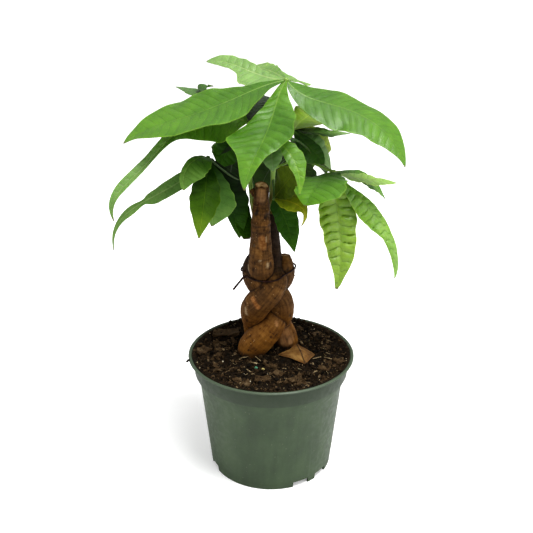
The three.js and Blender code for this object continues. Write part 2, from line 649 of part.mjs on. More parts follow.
function makeLeaf(leaf) {
  const hubPoint = vector(leaf.hub);
  const knot = new THREE.IcosahedronGeometry(hubRadius, 0).translate(...hubPoint.toArray());
  const stalk = evenRod([...leaf.petiole, leaf.hub], petioleRadius, 6, 8);
  const blades = leaf.leaflets.map((one, index) => leaflet(leaf.hub, one, index));
  return wasm.Manifold.union([solid(knot), stalk, ...blades]);
}

function makeFallenLeaf(grow = 0) {
  const { leftTip, ridge, rightTip, ridgeRun } = fallenLeaf;
  const run = vector(ridgeRun).multiplyScalar(0.5);
  const stations = [[0, 0.04], [0.5, 0.42], [1, 1], [1.5, 0.5], [2, 0.04]];
  const rows = [];
  const normals = [];
  for (const [place, share] of stations) {
    const from = vector(place < 1 ? leftTip : ridge);
    const to = vector(place < 1 ? ridge : rightTip);
    const middle = from.lerp(to, place < 1 ? place : place - 1);
    const reach = run.clone().multiplyScalar(share * (1 + grow / 10));
    rows.push([-1, -0.5, 0, 0.5, 1].map((s) => {
      const point = middle.clone().addScaledVector(reach, s);
      point.z += 0.8 * Math.sin(3 * s + 2 * place) * share;
      return point;
    }));
    normals.push(new THREE.Vector3(0, 0, 1));
  }
  return bladeThroughRows(rows, normals, bladeThickness + 2 * grow);
}

// Assembly -----------------------------------------------------------------------------------

function makeStems() {
  const wire = evenRod(wirePath, wireRadius, 6, wireSteps, gap);
  const stems = {};
  const taken = [wire];
  for (const [name, path] of Object.entries(stemPaths)) {
    let body = rod(path, stemSides, stemSteps);
    if (name === 'stem_front') body = body.add(rod(sideStub, 7, 3));
    for (const other of taken) body = body.subtract(other);
    if (name === 'stem_front') {
      const normal = vector(frontCut.normal).normalize().negate();
      body = body.trimByPlane(normal.toArray(), normal.dot(vector(frontCut.point)));
    }
    stems[name] = largest(body);
    taken.push(rod(path, stemSides, stemSteps, gap));
  }
  return stems;
}

const grownStems = Object.values(stemPaths).map((path) => rod(path, stemSides, stemSteps, gap));
const grownShoots = Object.values(shootPaths).map((path) => rod(path, 8, 8, gap));

function without(body, others) {
  return largest(others.reduce((rest, other) => rest.subtract(other), body));
}

const plant = new THREE.Group();

function place(name, body, material) {
  const mesh = new THREE.Mesh(geometryOf(body), material);
  mesh.name = name;
  plant.add(mesh);
}

place('pot', makePot(), potPlastic);
place('soil', without(makeSoil(), [...grownStems, makeFallenLeaf(gap)]), pottingMix);
for (const [name, body] of Object.entries(makeStems())) place(name, body, bark);
place('tie_wire', evenRod(wirePath, wireRadius, 6, wireSteps), darkTie);
for (const [name, path] of Object.entries(shootPaths)) {
  place(name, without(rod(path, 8, 8), grownStems), greenStem);
}
for (const [name, leaf] of Object.entries(leaves)) {
  place(name, without(makeLeaf(leaf), grownShoots), finish(leaf.green, 0.45));
}
place('fallen_leaf', makeFallenLeaf(), dryLeaf);

export default plant;
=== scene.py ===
import random
from math import atan2, cos, exp, hypot, pi, radians, sin, sqrt, tau

import bmesh
import bpy
from mathutils import Matrix, Vector, geometry, kdtree, noise


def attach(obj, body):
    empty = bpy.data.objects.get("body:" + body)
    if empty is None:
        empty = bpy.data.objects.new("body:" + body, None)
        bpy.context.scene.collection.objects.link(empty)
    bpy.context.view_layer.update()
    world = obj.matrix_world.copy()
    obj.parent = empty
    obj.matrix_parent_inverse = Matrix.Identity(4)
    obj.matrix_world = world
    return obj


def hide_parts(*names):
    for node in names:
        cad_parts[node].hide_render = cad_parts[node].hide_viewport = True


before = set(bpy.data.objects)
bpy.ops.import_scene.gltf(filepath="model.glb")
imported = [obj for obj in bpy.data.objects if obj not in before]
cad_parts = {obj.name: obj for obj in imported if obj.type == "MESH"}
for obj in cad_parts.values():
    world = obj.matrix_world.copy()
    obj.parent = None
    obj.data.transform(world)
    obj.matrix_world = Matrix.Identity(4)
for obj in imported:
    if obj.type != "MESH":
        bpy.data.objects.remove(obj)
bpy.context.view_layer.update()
mm = 0.001
print("frame loaded,", len(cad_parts), "solids")


def addObject(name, data):
    made = bpy.data.objects.new(name, data)
    bpy.context.scene.collection.objects.link(made)
    return made


# the camera stands where the photo was taken from, and looks down at the pot
camera = {
    "place": (-4.2, -620, 440.6),
    "pitch": 21.56,  # degrees below level
    "lens": 50.86,
    "sensor": 36,
}
cameraData = bpy.data.cameras.new("camera")
cameraData.lens = camera["lens"]
cameraData.sensor_width = camera["sensor"]
cameraObject = addObject("camera", cameraData)
cameraObject.location = Vector(camera["place"]) * mm
cameraObject.rotation_euler = (radians(90 - camera["pitch"]), 0, 0)
bpy.context.scene.camera = cameraObject


# shader helpers

def srgb(red, green, blue):  # a paint colour out of 255, as the shaders take it
    def linear(value):
        share = value / 255
        return share / 12.92 if share <= 0.04045 else ((share + 0.055) / 1.055) ** 2.4
    return (linear(red), linear(green), linear(blue), 1)


def plug(socket, value):
    if isinstance(value, bpy.types.NodeSocket):
        socket.id_data.links.new(value, socket)
    else:
        socket.default_value = value


def addNode(tree, kind, sockets=None, **settings):
    made = tree.nodes.new("ShaderNode" + kind)
    for name, value in settings.items():
        setattr(made, name, value)
    for name, value in (sockets or {}).items():
        plug(made.inputs[name], value)
    return made


def treeOf(*values):  # the node tree that holds the sockets among the values
    return next(value for value in values if isinstance(value, bpy.types.NodeSocket)).id_data


def calc(operation, *values, clamp=False):
    made = addNode(treeOf(*values), "Math", operation=operation, use_clamp=clamp)
    for socket, value in zip(made.inputs, values):
        plug(socket, value)
    return made.outputs[0]


def times(first, second):
    return calc("MULTIPLY", first, second)


def plus(first, second, clamp=False):
    return calc("ADD", first, second, clamp=clamp)


def minus(first, second):
    return calc("SUBTRACT", first, second)


def ease(value, low, high, toLow=0.0, toHigh=1.0):
    limits = {"Value": value, "From Min": low, "From Max": high, "To Min": toLow, "To Max": toHigh}
    return addNode(treeOf(value), "MapRange", limits, interpolation_type="SMOOTHSTEP").outputs[0]


def blendColours(factor, first, second, kind="MIX"):
    tree = treeOf(factor, first, second)
    made = addNode(tree, "Mix", data_type="RGBA", blend_type=kind, clamp_factor=True)
    for socket, value in ((0, factor), (6, first), (7, second)):
        plug(made.inputs[socket], value)
    return made.outputs[2]


def ramp(factor, stops):  # each stop: its place, then its red, green and blue out of 255
    made = addNode(treeOf(factor), "ValToRGB", {"Fac": factor})
    band = made.color_ramp
    while len(band.elements) < len(stops):
        band.elements.new(0.5)
    for element, (place, *colour) in zip(band.elements, stops):
        element.position = place
        element.color = srgb(*colour)
    return made.outputs["Color"]


def coated(colour, *coats):
    # coats over each other, each with its share, and its colour or what it multiplies the one below by
    for share, coat in coats:
        if isinstance(coat, tuple) and len(coat) == 3:
            coat = blendColours(1.0, colour, (*coat, 1), "MULTIPLY")
        colour = blendColours(share, colour, coat)
    return colour


def attribute(tree, name):
    return addNode(tree, "Attribute", attribute_name=name).outputs["Vector"]


def objectPlace(tree):
    return addNode(tree, "TexCoord").outputs["Object"]


def split(vector):
    return addNode(treeOf(vector), "SeparateXYZ", {0: vector}).outputs


def stretched(vector, scale):
    return addNode(treeOf(vector), "Mapping", {"Vector": vector, "Scale": scale}).outputs[0]


def noiseAt(vector, scale, detail=3.0, roughness=0.55):
    sockets = {"Vector": vector, "Scale": scale, "Detail": detail, "Roughness": roughness}
    return addNode(treeOf(vector), "TexNoise", sockets).outputs["Fac"]


def newGroup(name, inputs, outputs):
    group = bpy.data.node_groups.new(name, "ShaderNodeTree")
    for label, kind, value in inputs:
        socket = group.interface.new_socket(name=label, in_out="INPUT", socket_type="NodeSocket" + kind)
        if value is not None:
            socket.default_value = value
    for label in outputs:
        group.interface.new_socket(name=label, in_out="OUTPUT", socket_type="NodeSocketFloat")
    start = group.nodes.new("NodeGroupInput")
    end = group.nodes.new("NodeGroupOutput")
    return group, start.outputs, end.inputs


def useGroup(tree, group, **sockets):
    made = tree.nodes.new("ShaderNodeGroup")
    made.node_tree = group
    for name, value in sockets.items():
        plug(made.inputs[name], value)
    return made.outputs


def mottled(tree, place, scale):
    return useGroup(tree, mottle, Place=place, Scale=scale)


def newMaterial(name, **constants):
    material = bpy.data.materials.new(name)
    material.use_nodes = True
    shader = material.node_tree.nodes["Principled BSDF"]
    for label, value in constants.items():
        shader.inputs[label.replace("_", " ")].default_value = value
    return material, material.node_tree, shader


def dress(shader, colour, height, strength, distance, roughness=None):
    plug(shader.inputs["Base Color"], colour)
    if roughness is not None:
        plug(shader.inputs["Roughness"], roughness)
    bump = addNode(shader.id_data, "Bump", {"Height": height, "Strength": strength, "Distance": distance})
    plug(shader.inputs["Normal"], bump.outputs["Normal"])


# effects that several materials share

def makeMottle():  # broad patches and fine grain in one
    inputs = [("Place", "Vector", None), ("Scale", "Float", 60.0)]
    group, start, end = newGroup("mottle", inputs, ["Broad", "Fine"])
    fineScale = times(start["Scale"], 6.5)
    plug(end["Broad"], noiseAt(start["Place"], start["Scale"], 2.0))
    plug(end["Fine"], noiseAt(start["Place"], fineScale, 4.0, 0.6))
    return group


def makeSpecks():  # scattered round spots, 1 in a spot and 0 between them
    inputs = [("Place", "Vector", None), ("Scale", "Float", 200.0), ("Size", "Float", 0.2),
              ("Share", "Float", 0.3)]
    group, start, end = newGroup("specks", inputs, ["Spots"])
    cells = addNode(group, "TexVoronoi", {"Vector": start["Place"], "Scale": start["Scale"]})
    red = addNode(group, "SeparateColor", {0: cells.outputs["Color"]}).outputs[0]
    inner = times(start["Size"], 0.6)
    disc = ease(cells.outputs["Distance"], inner, start["Size"], 1.0, 0.0)
    chosen = calc("LESS_THAN", red, start["Share"])
    plug(end["Spots"], times(disc, chosen))
    return group


def makeBladeVeins():  # share: across, along and vein count; flat: the blade's own metres
    inputs = [("Share", "Vector", None), ("Flat", "Vector", None)]
    group, start, end = newGroup("blade veins", inputs, ["Midrib", "Side Veins", "Net", "Margin"])
    across, along, count = split(start["Share"])
    away = calc("ABSOLUTE", across)
    side = calc("ABSOLUTE", split(start["Flat"])[0])
    ribWidth = ease(along, 0.0, 1.0, 0.0008, 0.0002)
    rib = calc("DIVIDE", side, ribWidth)
    plug(end["Midrib"], ease(rib, 0.55, 1.1, 1.0, 0.0))
    nearest = calc("ROUND", count)
    offset = calc("ABSOLUTE", minus(count, nearest))
    line = ease(offset, 0.02, 0.075, 1.0, 0.0)
    fade = ease(away, 0.7, 0.98, 1.0, 0.15)
    plug(end["Side Veins"], times(line, fade))
    wobble = addNode(group, "TexNoise", {"Vector": start["Flat"], "Scale": 300.0})
    shift = addNode(group, "VectorMath", {0: wobble.outputs["Color"], 1: (0.0012, 0.0012, 0)},
                    operation="MULTIPLY")
    place = addNode(group, "VectorMath", {0: start["Flat"], 1: shift.outputs[0]}, operation="ADD")
    cells = addNode(group, "TexVoronoi", {"Vector": place.outputs[0], "Scale": 560.0},
                    feature="DISTANCE_TO_EDGE")
    plug(end["Net"], ease(cells.outputs["Distance"], 0.02, 0.16, 1.0, 0.0))
    plug(end["Margin"], ease(away, 0.93, 0.99))
    return group


mottle = makeMottle()
specks = makeSpecks()
bladeVeins = makeBladeVeins()


# mesh helpers

def moved(place):
    return Matrix.Translation(Vector(place) * mm)


def sized(size):
    return Matrix.Diagonal((*(Vector(size) * mm), 1))


def smoothStep(value, low, high):
    share = min(max((value - low) / (high - low), 0), 1)
    return share * share * (3 - 2 * share)


def eased(start, slopeStart, end, slopeEnd, t):
    return (start * (2 * t**3 - 3 * t**2 + 1) + slopeStart * (t**3 - 2 * t**2 + t)
            + end * (3 * t**2 - 2 * t**3) + slopeEnd * (t**3 - t**2))


def smoothPath(points, step):  # the curve that the solids follow too: place, radius, distance gone
    knots = [Vector(p) for p in points]
    knots = [2 * knots[0] - knots[1], *knots, 2 * knots[-1] - knots[-2]]
    stations = []
    for i in range(1, len(knots) - 2):
        a, b, c, d = knots[i - 1:i + 3]
        before, here, after = [sqrt((q - p).to_3d().length) for p, q in ((a, b), (b, c), (c, d))]
        slopeB = ((b - a) / before - (c - a) / (before + here) + (c - b) / here) * here
        slopeC = ((c - b) / here - (d - b) / (here + after) + (d - c) / after) * here
        count = max(2, round((c - b).to_3d().length / step))
        for k in range(count + (i == len(knots) - 3)):
            stations.append(eased(b, slopeB, c, slopeC, k / count))
    path = []
    distance = 0
    for i, station in enumerate(stations):
        if i:
            distance += (station - stations[i - 1]).to_3d().length
        path.append((station.to_3d() * mm, station.w * mm, distance * mm))
    return path


def startMesh(*names):  # a new mesh in work, with a layer on its corners for each name
    bm = bmesh.new()
    return (bm, *[bm.verts.layers.float_vector.new(name) for name in names])


def framesAlong(places):  # a turning frame at each place, with Z along the path and no twist
    frames = []
    across = None
    for i, place in enumerate(places):
        ahead = (places[min(i + 1, len(places) - 1)] - places[max(i - 1, 0)]).normalized()
        if across is None:
            across = ahead.orthogonal().normalized()
        else:
            across = (across - ahead * across.dot(ahead)).normalized()
        turn = Matrix((across, ahead.cross(across), ahead)).transposed().to_4x4()
        frames.append(Matrix.Translation(place) @ turn)
    return frames


def extrudeRing(bm, edges):  # the next ring of corners, and the open edges between them
    out = bmesh.ops.extrude_edge_only(bm, edges=edges)["geom"]
    ring = [item for item in out if isinstance(item, bmesh.types.BMVert)]
    return ring, [item for item in out if isinstance(item, bmesh.types.BMEdge) and item.is_boundary]


def addRod(bm, path, sides, nominal=0.01, capped=True):
    # a ring of edges is extruded from place to place; straight holds the rod as if it stood unbent
    straight = bm.verts.layers.float_vector["straight"]
    places = [place for place, _, _ in path]
    rings = [turn @ Matrix.Diagonal((radius, radius, 1, 1))
             for turn, (_, radius, _) in zip(framesAlong(places), path)]
    made = bmesh.ops.create_circle(bm, cap_ends=False, segments=sides, radius=1)["verts"]
    for vert in made:
        vert[straight] = vert.co * nominal
    bmesh.ops.transform(bm, matrix=rings[0], verts=made)
    edges = list({edge for vert in made for edge in vert.link_edges})
    ends = [edges]
    verts = list(made)
    for i in range(1, len(rings)):
        ring, edges = extrudeRing(bm, edges)
        bmesh.ops.transform(bm, matrix=rings[i] @ rings[i - 1].inverted(), verts=ring)
        for vert in ring:
            vert[straight] = Vector((vert[straight].x, vert[straight].y, path[i][2]))
        verts += ring
    ends.append(edges)
    if capped:
        for end in ends:
            bmesh.ops.contextual_create(bm, geom=end)
    bmesh.ops.recalc_face_normals(bm, faces=list({face for vert in verts for face in vert.link_faces}))
    return verts, ends


def rounded(path, blunt=0.6):  # the path with its two ends drawn in to a dome
    def dome(place, radius, distance, ahead):
        return [(place + ahead * radius * blunt * sin(turn), radius * cos(turn), distance)
                for turn in (1.45, 1.1, 0.7, 0.35)]
    start = (path[0][0] - path[1][0]).normalized()
    end = (path[-1][0] - path[-2][0]).normalized()
    return dome(*path[0], start) + path + dome(*path[-1], end)[::-1]


def addPiece(name, bm, materials, slot, *nodes, creaseAngle=50):
    bm.normal_update()
    for edge in bm.edges:
        edge.smooth = edge.calc_face_angle(0) < radians(creaseAngle)
    for face in bm.faces:
        face.smooth = True
    mesh = bpy.data.meshes.new(name)
    bm.to_mesh(mesh)
    bm.free()
    for material in materials:
        mesh.materials.append(material)
    piece = addObject(name, mesh)
    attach(piece, "root")
    if nodes:
        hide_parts(*nodes)
    return piece


# the pot: one moulding, with a lip, a deep collar, a slanted step and drain slots in its foot
pot = {
    "height": 111.8,
    "lipRadius": 76.2,
    "lipInnerRadius": 73.4,
    "lipThickness": 2,
    "collarRadius": 71,
    "flareBottom": 107.4,  # where the collar starts to turn outwards into the lip
    "collarBottom": 94.8,
    "stepBottom": 85.2,
    "stepRadius": 66.1,
    "baseRadius": 57.1,
    "wall": 1.5,
    "floorUnderside": 4.8,
    "floorThickness": 1.6,
    "centreFlatRadius": 30,
    "segments": 160,
    "edgeRound": 0.35,
    "slotWidth": 15.5,
    "slotHeight": 5.2,
    "slotSpread": 24.4,
    "slotPairs": (40.6, 160.6, 280.6),
    "slotCuts": (8, 4),  # depth of the cut through the wall, and of the one behind it
    "slotBehind": 2.6,
    "bevelAngle": 25,
    "sharpAngle": 38,
}


def potInside():
    floorTop = pot["floorUnderside"] + pot["floorThickness"]
    rise = (pot["stepRadius"] - pot["baseRadius"]) / pot["stepBottom"]
    wall = pot["wall"]
    return [
        (pot["baseRadius"] + rise * floorTop - wall, floorTop),
        (pot["stepRadius"] - wall, pot["stepBottom"] - 0.6),
        (pot["collarRadius"] - wall, pot["collarBottom"] - 0.6),
        (pot["collarRadius"] - wall + 0.2, pot["flareBottom"] + 0.9),
        (pot["lipInnerRadius"], pot["height"] - 0.7),
    ]


def potProfile():
    height, under = pot["height"], pot["floorUnderside"]
    floorTop = under + pot["floorThickness"]
    lipBottom = height - pot["lipThickness"]
    base, wall, flat = pot["baseRadius"], pot["wall"], pot["centreFlatRadius"]
    lip, lipInner, collar = pot["lipRadius"], pot["lipInnerRadius"], pot["collarRadius"]
    return [
        (0, 0), (flat, 0), (flat + under, under), (base - wall, under), (base - wall - 0.2, 0), (base, 0),
        (pot["stepRadius"], pot["stepBottom"]), (collar - 0.3, pot["collarBottom"]),
        (collar, pot["flareBottom"]), (lipInner + 0.2, lipBottom), (lip - 0.5, lipBottom),
        (lip, lipBottom + 0.6), (lip, height - 0.8), (lip - 0.9, height), (lipInner + 0.8, height),
        *reversed(potInside()),
        (flat + under, floorTop), (flat, pot["floorThickness"]), (0, pot["floorThickness"]),
    ]


def makePotPlastic():
    material, tree, shader = newMaterial("pot plastic", Roughness=0.46, Specular_IOR_Level=0.45)
    place = objectPlace(tree)
    patches = mottled(tree, place, 34.0)
    streaks = noiseAt(stretched(place, (1, 1, 0.16)), 120.0, 4.0)
    dust = useGroup(tree, specks, Place=place, Scale=310.0, Size=0.2, Share=0.12)["Spots"]
    tone = plus(times(patches["Broad"], 0.6), times(streaks, 0.4))
    height = split(place)[2]
    collar, top = pot["collarBottom"] * mm, pot["height"] * mm
    colour = coated(
        ramp(tone, [(0.3, 42, 58, 34), (0.5, 51, 69, 42), (0.7, 62, 80, 51)]),
        (ease(patches["Fine"], 0.52, 0.72, 0.0, 0.2), srgb(84, 96, 76)),
        (times(dust, 0.3), srgb(126, 126, 104)),
        # painted shade: from the foot of the collar upward, under the lip, the plastic is darker
        (ease(height, collar - mm, collar, 0.0, 0.75), srgb(38, 51, 32)),
        # painted highlight: a lighter band along the top of the lip
        (ease(height, top - 2 * mm, top - 0.4 * mm, 0.0, 0.42), srgb(98, 112, 92)),
    )
    grain = plus(times(patches["Fine"], 0.5), times(streaks, 0.5))
    dress(shader, colour, grain, 0.3, 0.0004, ease(patches["Fine"], 0.3, 0.7, 0.4, 0.56))
    return material


def bakeModifiers(piece):  # keeps the shape that the modifiers give and drops them
    evaluated = piece.evaluated_get(bpy.context.evaluated_depsgraph_get())
    mesh = bpy.data.meshes.new_from_object(evaluated)
    piece.modifiers.clear()
    old = piece.data
    piece.data = mesh
    bpy.data.meshes.remove(old)


def makePot():
    bm = bmesh.new()
    outline = [bm.verts.new(Vector((radius, 0, z)) * mm) for radius, z in potProfile()]
    edges = [bm.edges.new(pair) for pair in zip(outline, outline[1:])]
    bmesh.ops.spin(bm, geom=outline + edges, cent=(0, 0, 0), axis=(0, 0, 1), angle=tau,
                   steps=pot["segments"], use_merge=True)
    bmesh.ops.remove_doubles(bm, verts=bm.verts[:], dist=1e-6)
    bmesh.ops.recalc_face_normals(bm, faces=bm.faces[:])
    piece = addPiece("pot_moulding", bm, [makePotPlastic()], "pot_plastic", "pot")
    cutter = bmesh.new()
    width, height, under = pot["slotWidth"], pot["slotHeight"], pot["floorUnderside"]
    through, behind = pot["slotCuts"]
    cuts = [((width, through, height + 2), pot["baseRadius"], (height - 2) / 2),
            ((width, behind, 2 * under), pot["baseRadius"] - pot["wall"] - pot["slotBehind"], under)]
    for pair in pot["slotPairs"]:
        for side in (-0.5, 0.5):
            turn = Matrix.Rotation(radians(pair + side * pot["slotSpread"]), 4, "Z")
            for size, radius, z in cuts:
                bmesh.ops.create_cube(cutter, size=1, matrix=turn @ moved((0, -radius, z)) @ sized(size))
    mesh = bpy.data.meshes.new("slots")
    cutter.to_mesh(mesh)
    cutter.free()
    slots = addObject("slots", mesh)
    cut = piece.modifiers.new("slots", "BOOLEAN")
    cut.operation, cut.object, cut.solver, cut.use_self = "DIFFERENCE", slots, "EXACT", True
    bevel = piece.modifiers.new("edges", "BEVEL")
    bevel.width, bevel.segments, bevel.limit_method = pot["edgeRound"] * mm, 2, "ANGLE"
    bevel.angle_limit = radians(pot["bevelAngle"])
    bakeModifiers(piece)
    bpy.data.objects.remove(slots)
    bpy.data.meshes.remove(mesh)
    piece.data.set_sharp_from_angle(angle=radians(pot["sharpAngle"]))


makePot()
print("pot done")


# the potting mix: a lumpy surface, with crumbs, fibres and bark chips that lie in it
soil = {
    "top": 105.9,
    "edgeRise": 4.4,
    "lump": 1.1,
    "chips": 14,
    "chipLength": (6, 15),
    "chipWidth": (3, 7),
    "chipThickness": 2,
    "trunkClear": 31,
    "trunkAxis": (-3.5, 18),
    "chipReach": 62,
    "leafClear": 24,
    "gap": 0.3,
    "brim": (67, 72.4),  # radii between which the surface is drawn up to the lip
    "cells": 132,
    "crumbs": 2800,
    "crumbSize": (0.5, 2.5),
    "crumbReach": 72.6,
    "fibres": 420,
    "fibreReach": 68,
    "perlite": 60,
    "perliteReach": 71,
}
chipDraw = {  # the row of drawn numbers that places the chips, as in the solid
    "start": 20,
    "factor": 1664525,
    "step": 1013904223,
    "range": 4294967296,
}
fallenLeaf = {
    "leftTip": (7, 1, 107.2),
    "ridge": (27.8, -3, 110.5),
    "rightTip": (40.5, 1, 107.4),
    "ridgeRun": (7, -30, -5),
    "thickness": 0.5,
    "rows": 44,
    "columns": 30,
    "widths": (0.04, 0.42, 1, 0.5, 0.04),  # shares of the ridge's run, from tip to tip
    "shelters": (20, 9),  # half the length and width of the soil under it
}
feet = [  # x, y and radius of the stems at the soil
    (-18.5, 12.2, 13), (-13.5, 32.5, 12), (0, 37, 12), (14.2, 26.5, 12),
]


def soilHeight(x, y):  # millimetres, the same rise and fall as the solid has
    def wave(a, b, shift):
        return sin(x * a + shift) * cos(y * b - shift)
    rough = wave(0.11, 0.13, 0.4) + 0.7 * wave(0.27, 0.21, 1.9) + 0.5 * wave(0.52, 0.61, 3.1)
    share = hypot(x, y) / pot["collarRadius"]
    return soil["top"] + soil["edgeRise"] * share ** 3 + soil["lump"] * rough


def soilSurface(x, y):  # the same with its lumps and pores, drawn up to the lip at its edge
    place = Vector((x, y, 0))
    lumps = 1.3 * noise.noise(place / 6.5) + 1.1 * noise.noise(place / 3.1 + Vector((7, 3, 1)))
    pores = 0.75 * noise.noise(place / 1.5 + Vector((3, 9, 2)))
    surface = soilHeight(x, y) + lumps + pores - 0.4
    rim = pot["height"] - 0.6 + 0.5 * max(lumps, -0.2)
    return surface + (rim - surface) * smoothStep(hypot(x, y), *soil["brim"])


def onSoil(x, y, up):
    return Vector((x, y, soilSurface(x, y) + up))


def makeSoilMaterial():
    material, tree, shader = newMaterial("potting mix", Specular_IOR_Level=0.16)
    place = objectPlace(tree)
    patches = mottled(tree, place, 170.0)
    tone = split(attribute(tree, "tone"))[0]
    both = plus(patches["Broad"], patches["Fine"])
    shade = plus(tone, times(minus(both, 1.0), 0.46), clamp=True)
    flecks = useGroup(tree, specks, Place=place, Scale=900.0, Size=0.32, Share=0.07)["Spots"]
    colour = coated(
        ramp(shade, [(0.0, 8, 5, 1), (0.3, 40, 28, 12), (0.52, 74, 57, 36), (0.7, 116, 99, 74),
                     (0.86, 174, 157, 120), (1.0, 226, 216, 190)]),
        (times(flecks, 0.6), srgb(150, 126, 96)),
    )
    dress(shader, colour, both, 0.7, 0.0009, ease(patches["Fine"], 0.3, 0.7, 0.62, 0.95))
    return material


def makeSoil():
    bm, tone = startMesh("tone")
    bmesh.ops.create_grid(bm, x_segments=soil["cells"], y_segments=soil["cells"], size=1)
    inside = potInside()
    edgeRadius = inside[4][0] - soil["gap"] - 0.1
    for vert in bm.verts:  # the square grid is pressed into a disc
        x, y = vert.co.x, vert.co.y
        flatX = edgeRadius * x * sqrt(1 - y * y / 2)
        flatY = edgeRadius * y * sqrt(1 - x * x / 2)
        vert.co = Vector((flatX, flatY, soilSurface(flatX, flatY))) * mm
        # the tone rises with the surface over its plain height: lighter on the lumps, and darker in the
        # pores and hollows as painted shade
        rise = soilSurface(flatX, flatY) - soilHeight(flatX, flatY)
        vert[tone] = Vector((0.16 + 0.08 * rise, 0, 0))
    edges = [edge for edge in bm.edges if edge.is_boundary]
    radius = edgeRadius
    walls = ((3, 0.2, 0.1), (2, 0.2, 0), (1, 0, 0), (0, -0.3, 3.3), (0, 3.5, 0.3))
    for corner, inward, up in walls:  # its edge goes down the wall to the pot's floor
        wallRadius, z = inside[corner][0] - soil["gap"] - inward, inside[corner][1] + up
        ring, edges = extrudeRing(bm, edges)
        bmesh.ops.scale(bm, verts=ring, vec=(wallRadius / radius, wallRadius / radius, 1))
        for vert in ring:
            vert.co.z = z * mm
        radius = wallRadius
    bmesh.ops.contextual_create(bm, geom=edges)
    bmesh.ops.recalc_face_normals(bm, faces=bm.faces[:])
    addPiece("soil_bed", bm, [pottingMix], "potting_mix", "soil", creaseAngle=180)


def inTrunk(x, y, margin=0):
    return any(hypot(x - footX, y - footY) < radius + margin for footX, footY, radius in feet)


def underLeaf(x, y):
    ridge, (halfLength, halfWidth) = Vector(fallenLeaf["ridge"]), fallenLeaf["shelters"]
    return abs(x - ridge.x) < halfLength and abs(y - ridge.y + 2) < halfWidth


def addLump(bm, tone, place, size, shade, draw, detail=1):
    # a knobbly crumb: its corners are pushed in and out by a drawn amount
    turn = Matrix.Rotation(draw.uniform(0, tau), 4, Vector((draw.gauss(0, 1), draw.gauss(0, 1), 1)))
    verts = bmesh.ops.create_icosphere(bm, subdivisions=detail, radius=1,
                                       matrix=moved(place) @ turn @ sized(size))["verts"]
    for vert in verts:
        vert.co = place * mm + (vert.co - place * mm) * draw.uniform(0.7, 1.2)
        vert[tone] = Vector((shade, 0, 0))


def addFibre(bm, tone, start, end, width, shade, draw):
    # a flat splinter: four-sided, drawn out to both of its ends
    turn = (end - start).normalized().to_track_quat("Z", "Y").to_matrix().to_4x4()
    matrix = moved((start + end) / 2) @ turn @ sized((width, width * 0.45, (end - start).length))
    verts = bmesh.ops.create_cone(bm, cap_ends=True, segments=4, radius1=0.35, radius2=0.5, depth=1,
                                  matrix=matrix)["verts"]
    for vert in verts:
        vert.co += Vector((draw.gauss(0, 1), draw.gauss(0, 1), draw.gauss(0, 1))) * width * 0.12 * mm
        vert[tone] = Vector((shade, 0, 0))


def addChip(bm, tone, matrix, size, shade, draw):
    # a piece of bark: a slab, cut up a little and roughened
    before = set(bm.verts)
    made = bmesh.ops.create_cube(bm, size=1, matrix=matrix @ sized(size))["verts"]
    edges = list({edge for vert in made for edge in vert.link_edges})
    bmesh.ops.subdivide_edges(bm, edges=edges, cuts=4, use_grid_fill=True)
    centre = matrix.to_translation()
    for vert in [vert for vert in bm.verts if vert not in before]:
        local = (vert.co - centre) / mm
        shift = noise.noise_vector(local / 2.4 + Vector((draw.random() * 0.02, shade * 9, 0)))
        vert.co += shift * min(size) * 0.34 * mm
        vert[tone] = Vector((shade + 0.12 * shift.x, 0, 0))


def makeChips():  # drawn as the solid's are, so that they lie in the same places
    bm, tone = startMesh("tone")
    draw = random.Random(5)
    state = chipDraw["start"]

    def chance():
        nonlocal state
        state = (state * chipDraw["factor"] + chipDraw["step"]) % chipDraw["range"]
        return state / chipDraw["range"]

    def within(low, high):
        return low + (high - low) * chance()
    made = 0
    while made < soil["chips"]:
        radius = soil["chipReach"] * sqrt(chance())
        turn = chance() * tau
        x, y = radius * cos(turn), radius * sin(turn)
        size = (within(*soil["chipLength"]), within(*soil["chipWidth"]), soil["chipThickness"])
        tilts = ((chance() - 0.5) * 0.5, (chance() - 0.5) * 0.5, chance() * pi)
        nearTrunk = hypot(x - soil["trunkAxis"][0], y - soil["trunkAxis"][1]) < soil["trunkClear"]
        nearLeaf = hypot(x - fallenLeaf["ridge"][0], y - fallenLeaf["ridge"][1]) < soil["leafClear"]
        if nearTrunk or nearLeaf:
            continue
        matrix = moved((x, y, soilHeight(x, y) + 0.4))
        for tilt, axis in zip(tilts, "XYZ"):
            matrix = matrix @ Matrix.Rotation(tilt, 4, axis)
        addChip(bm, tone, matrix, size, draw.uniform(0.3, 0.56), draw)
        made += 1
    for x, y, length, width, turn, shade in photoChips:
        matrix = moved((x, y, soilHeight(x, y) + 0.6)) @ Matrix.Rotation(radians(turn), 4, "Z")
        addChip(bm, tone, matrix, (length, width, 2.2), shade, draw)
    addPiece("soil_chips", bm, [pottingMix], "potting_mix", creaseAngle=40)


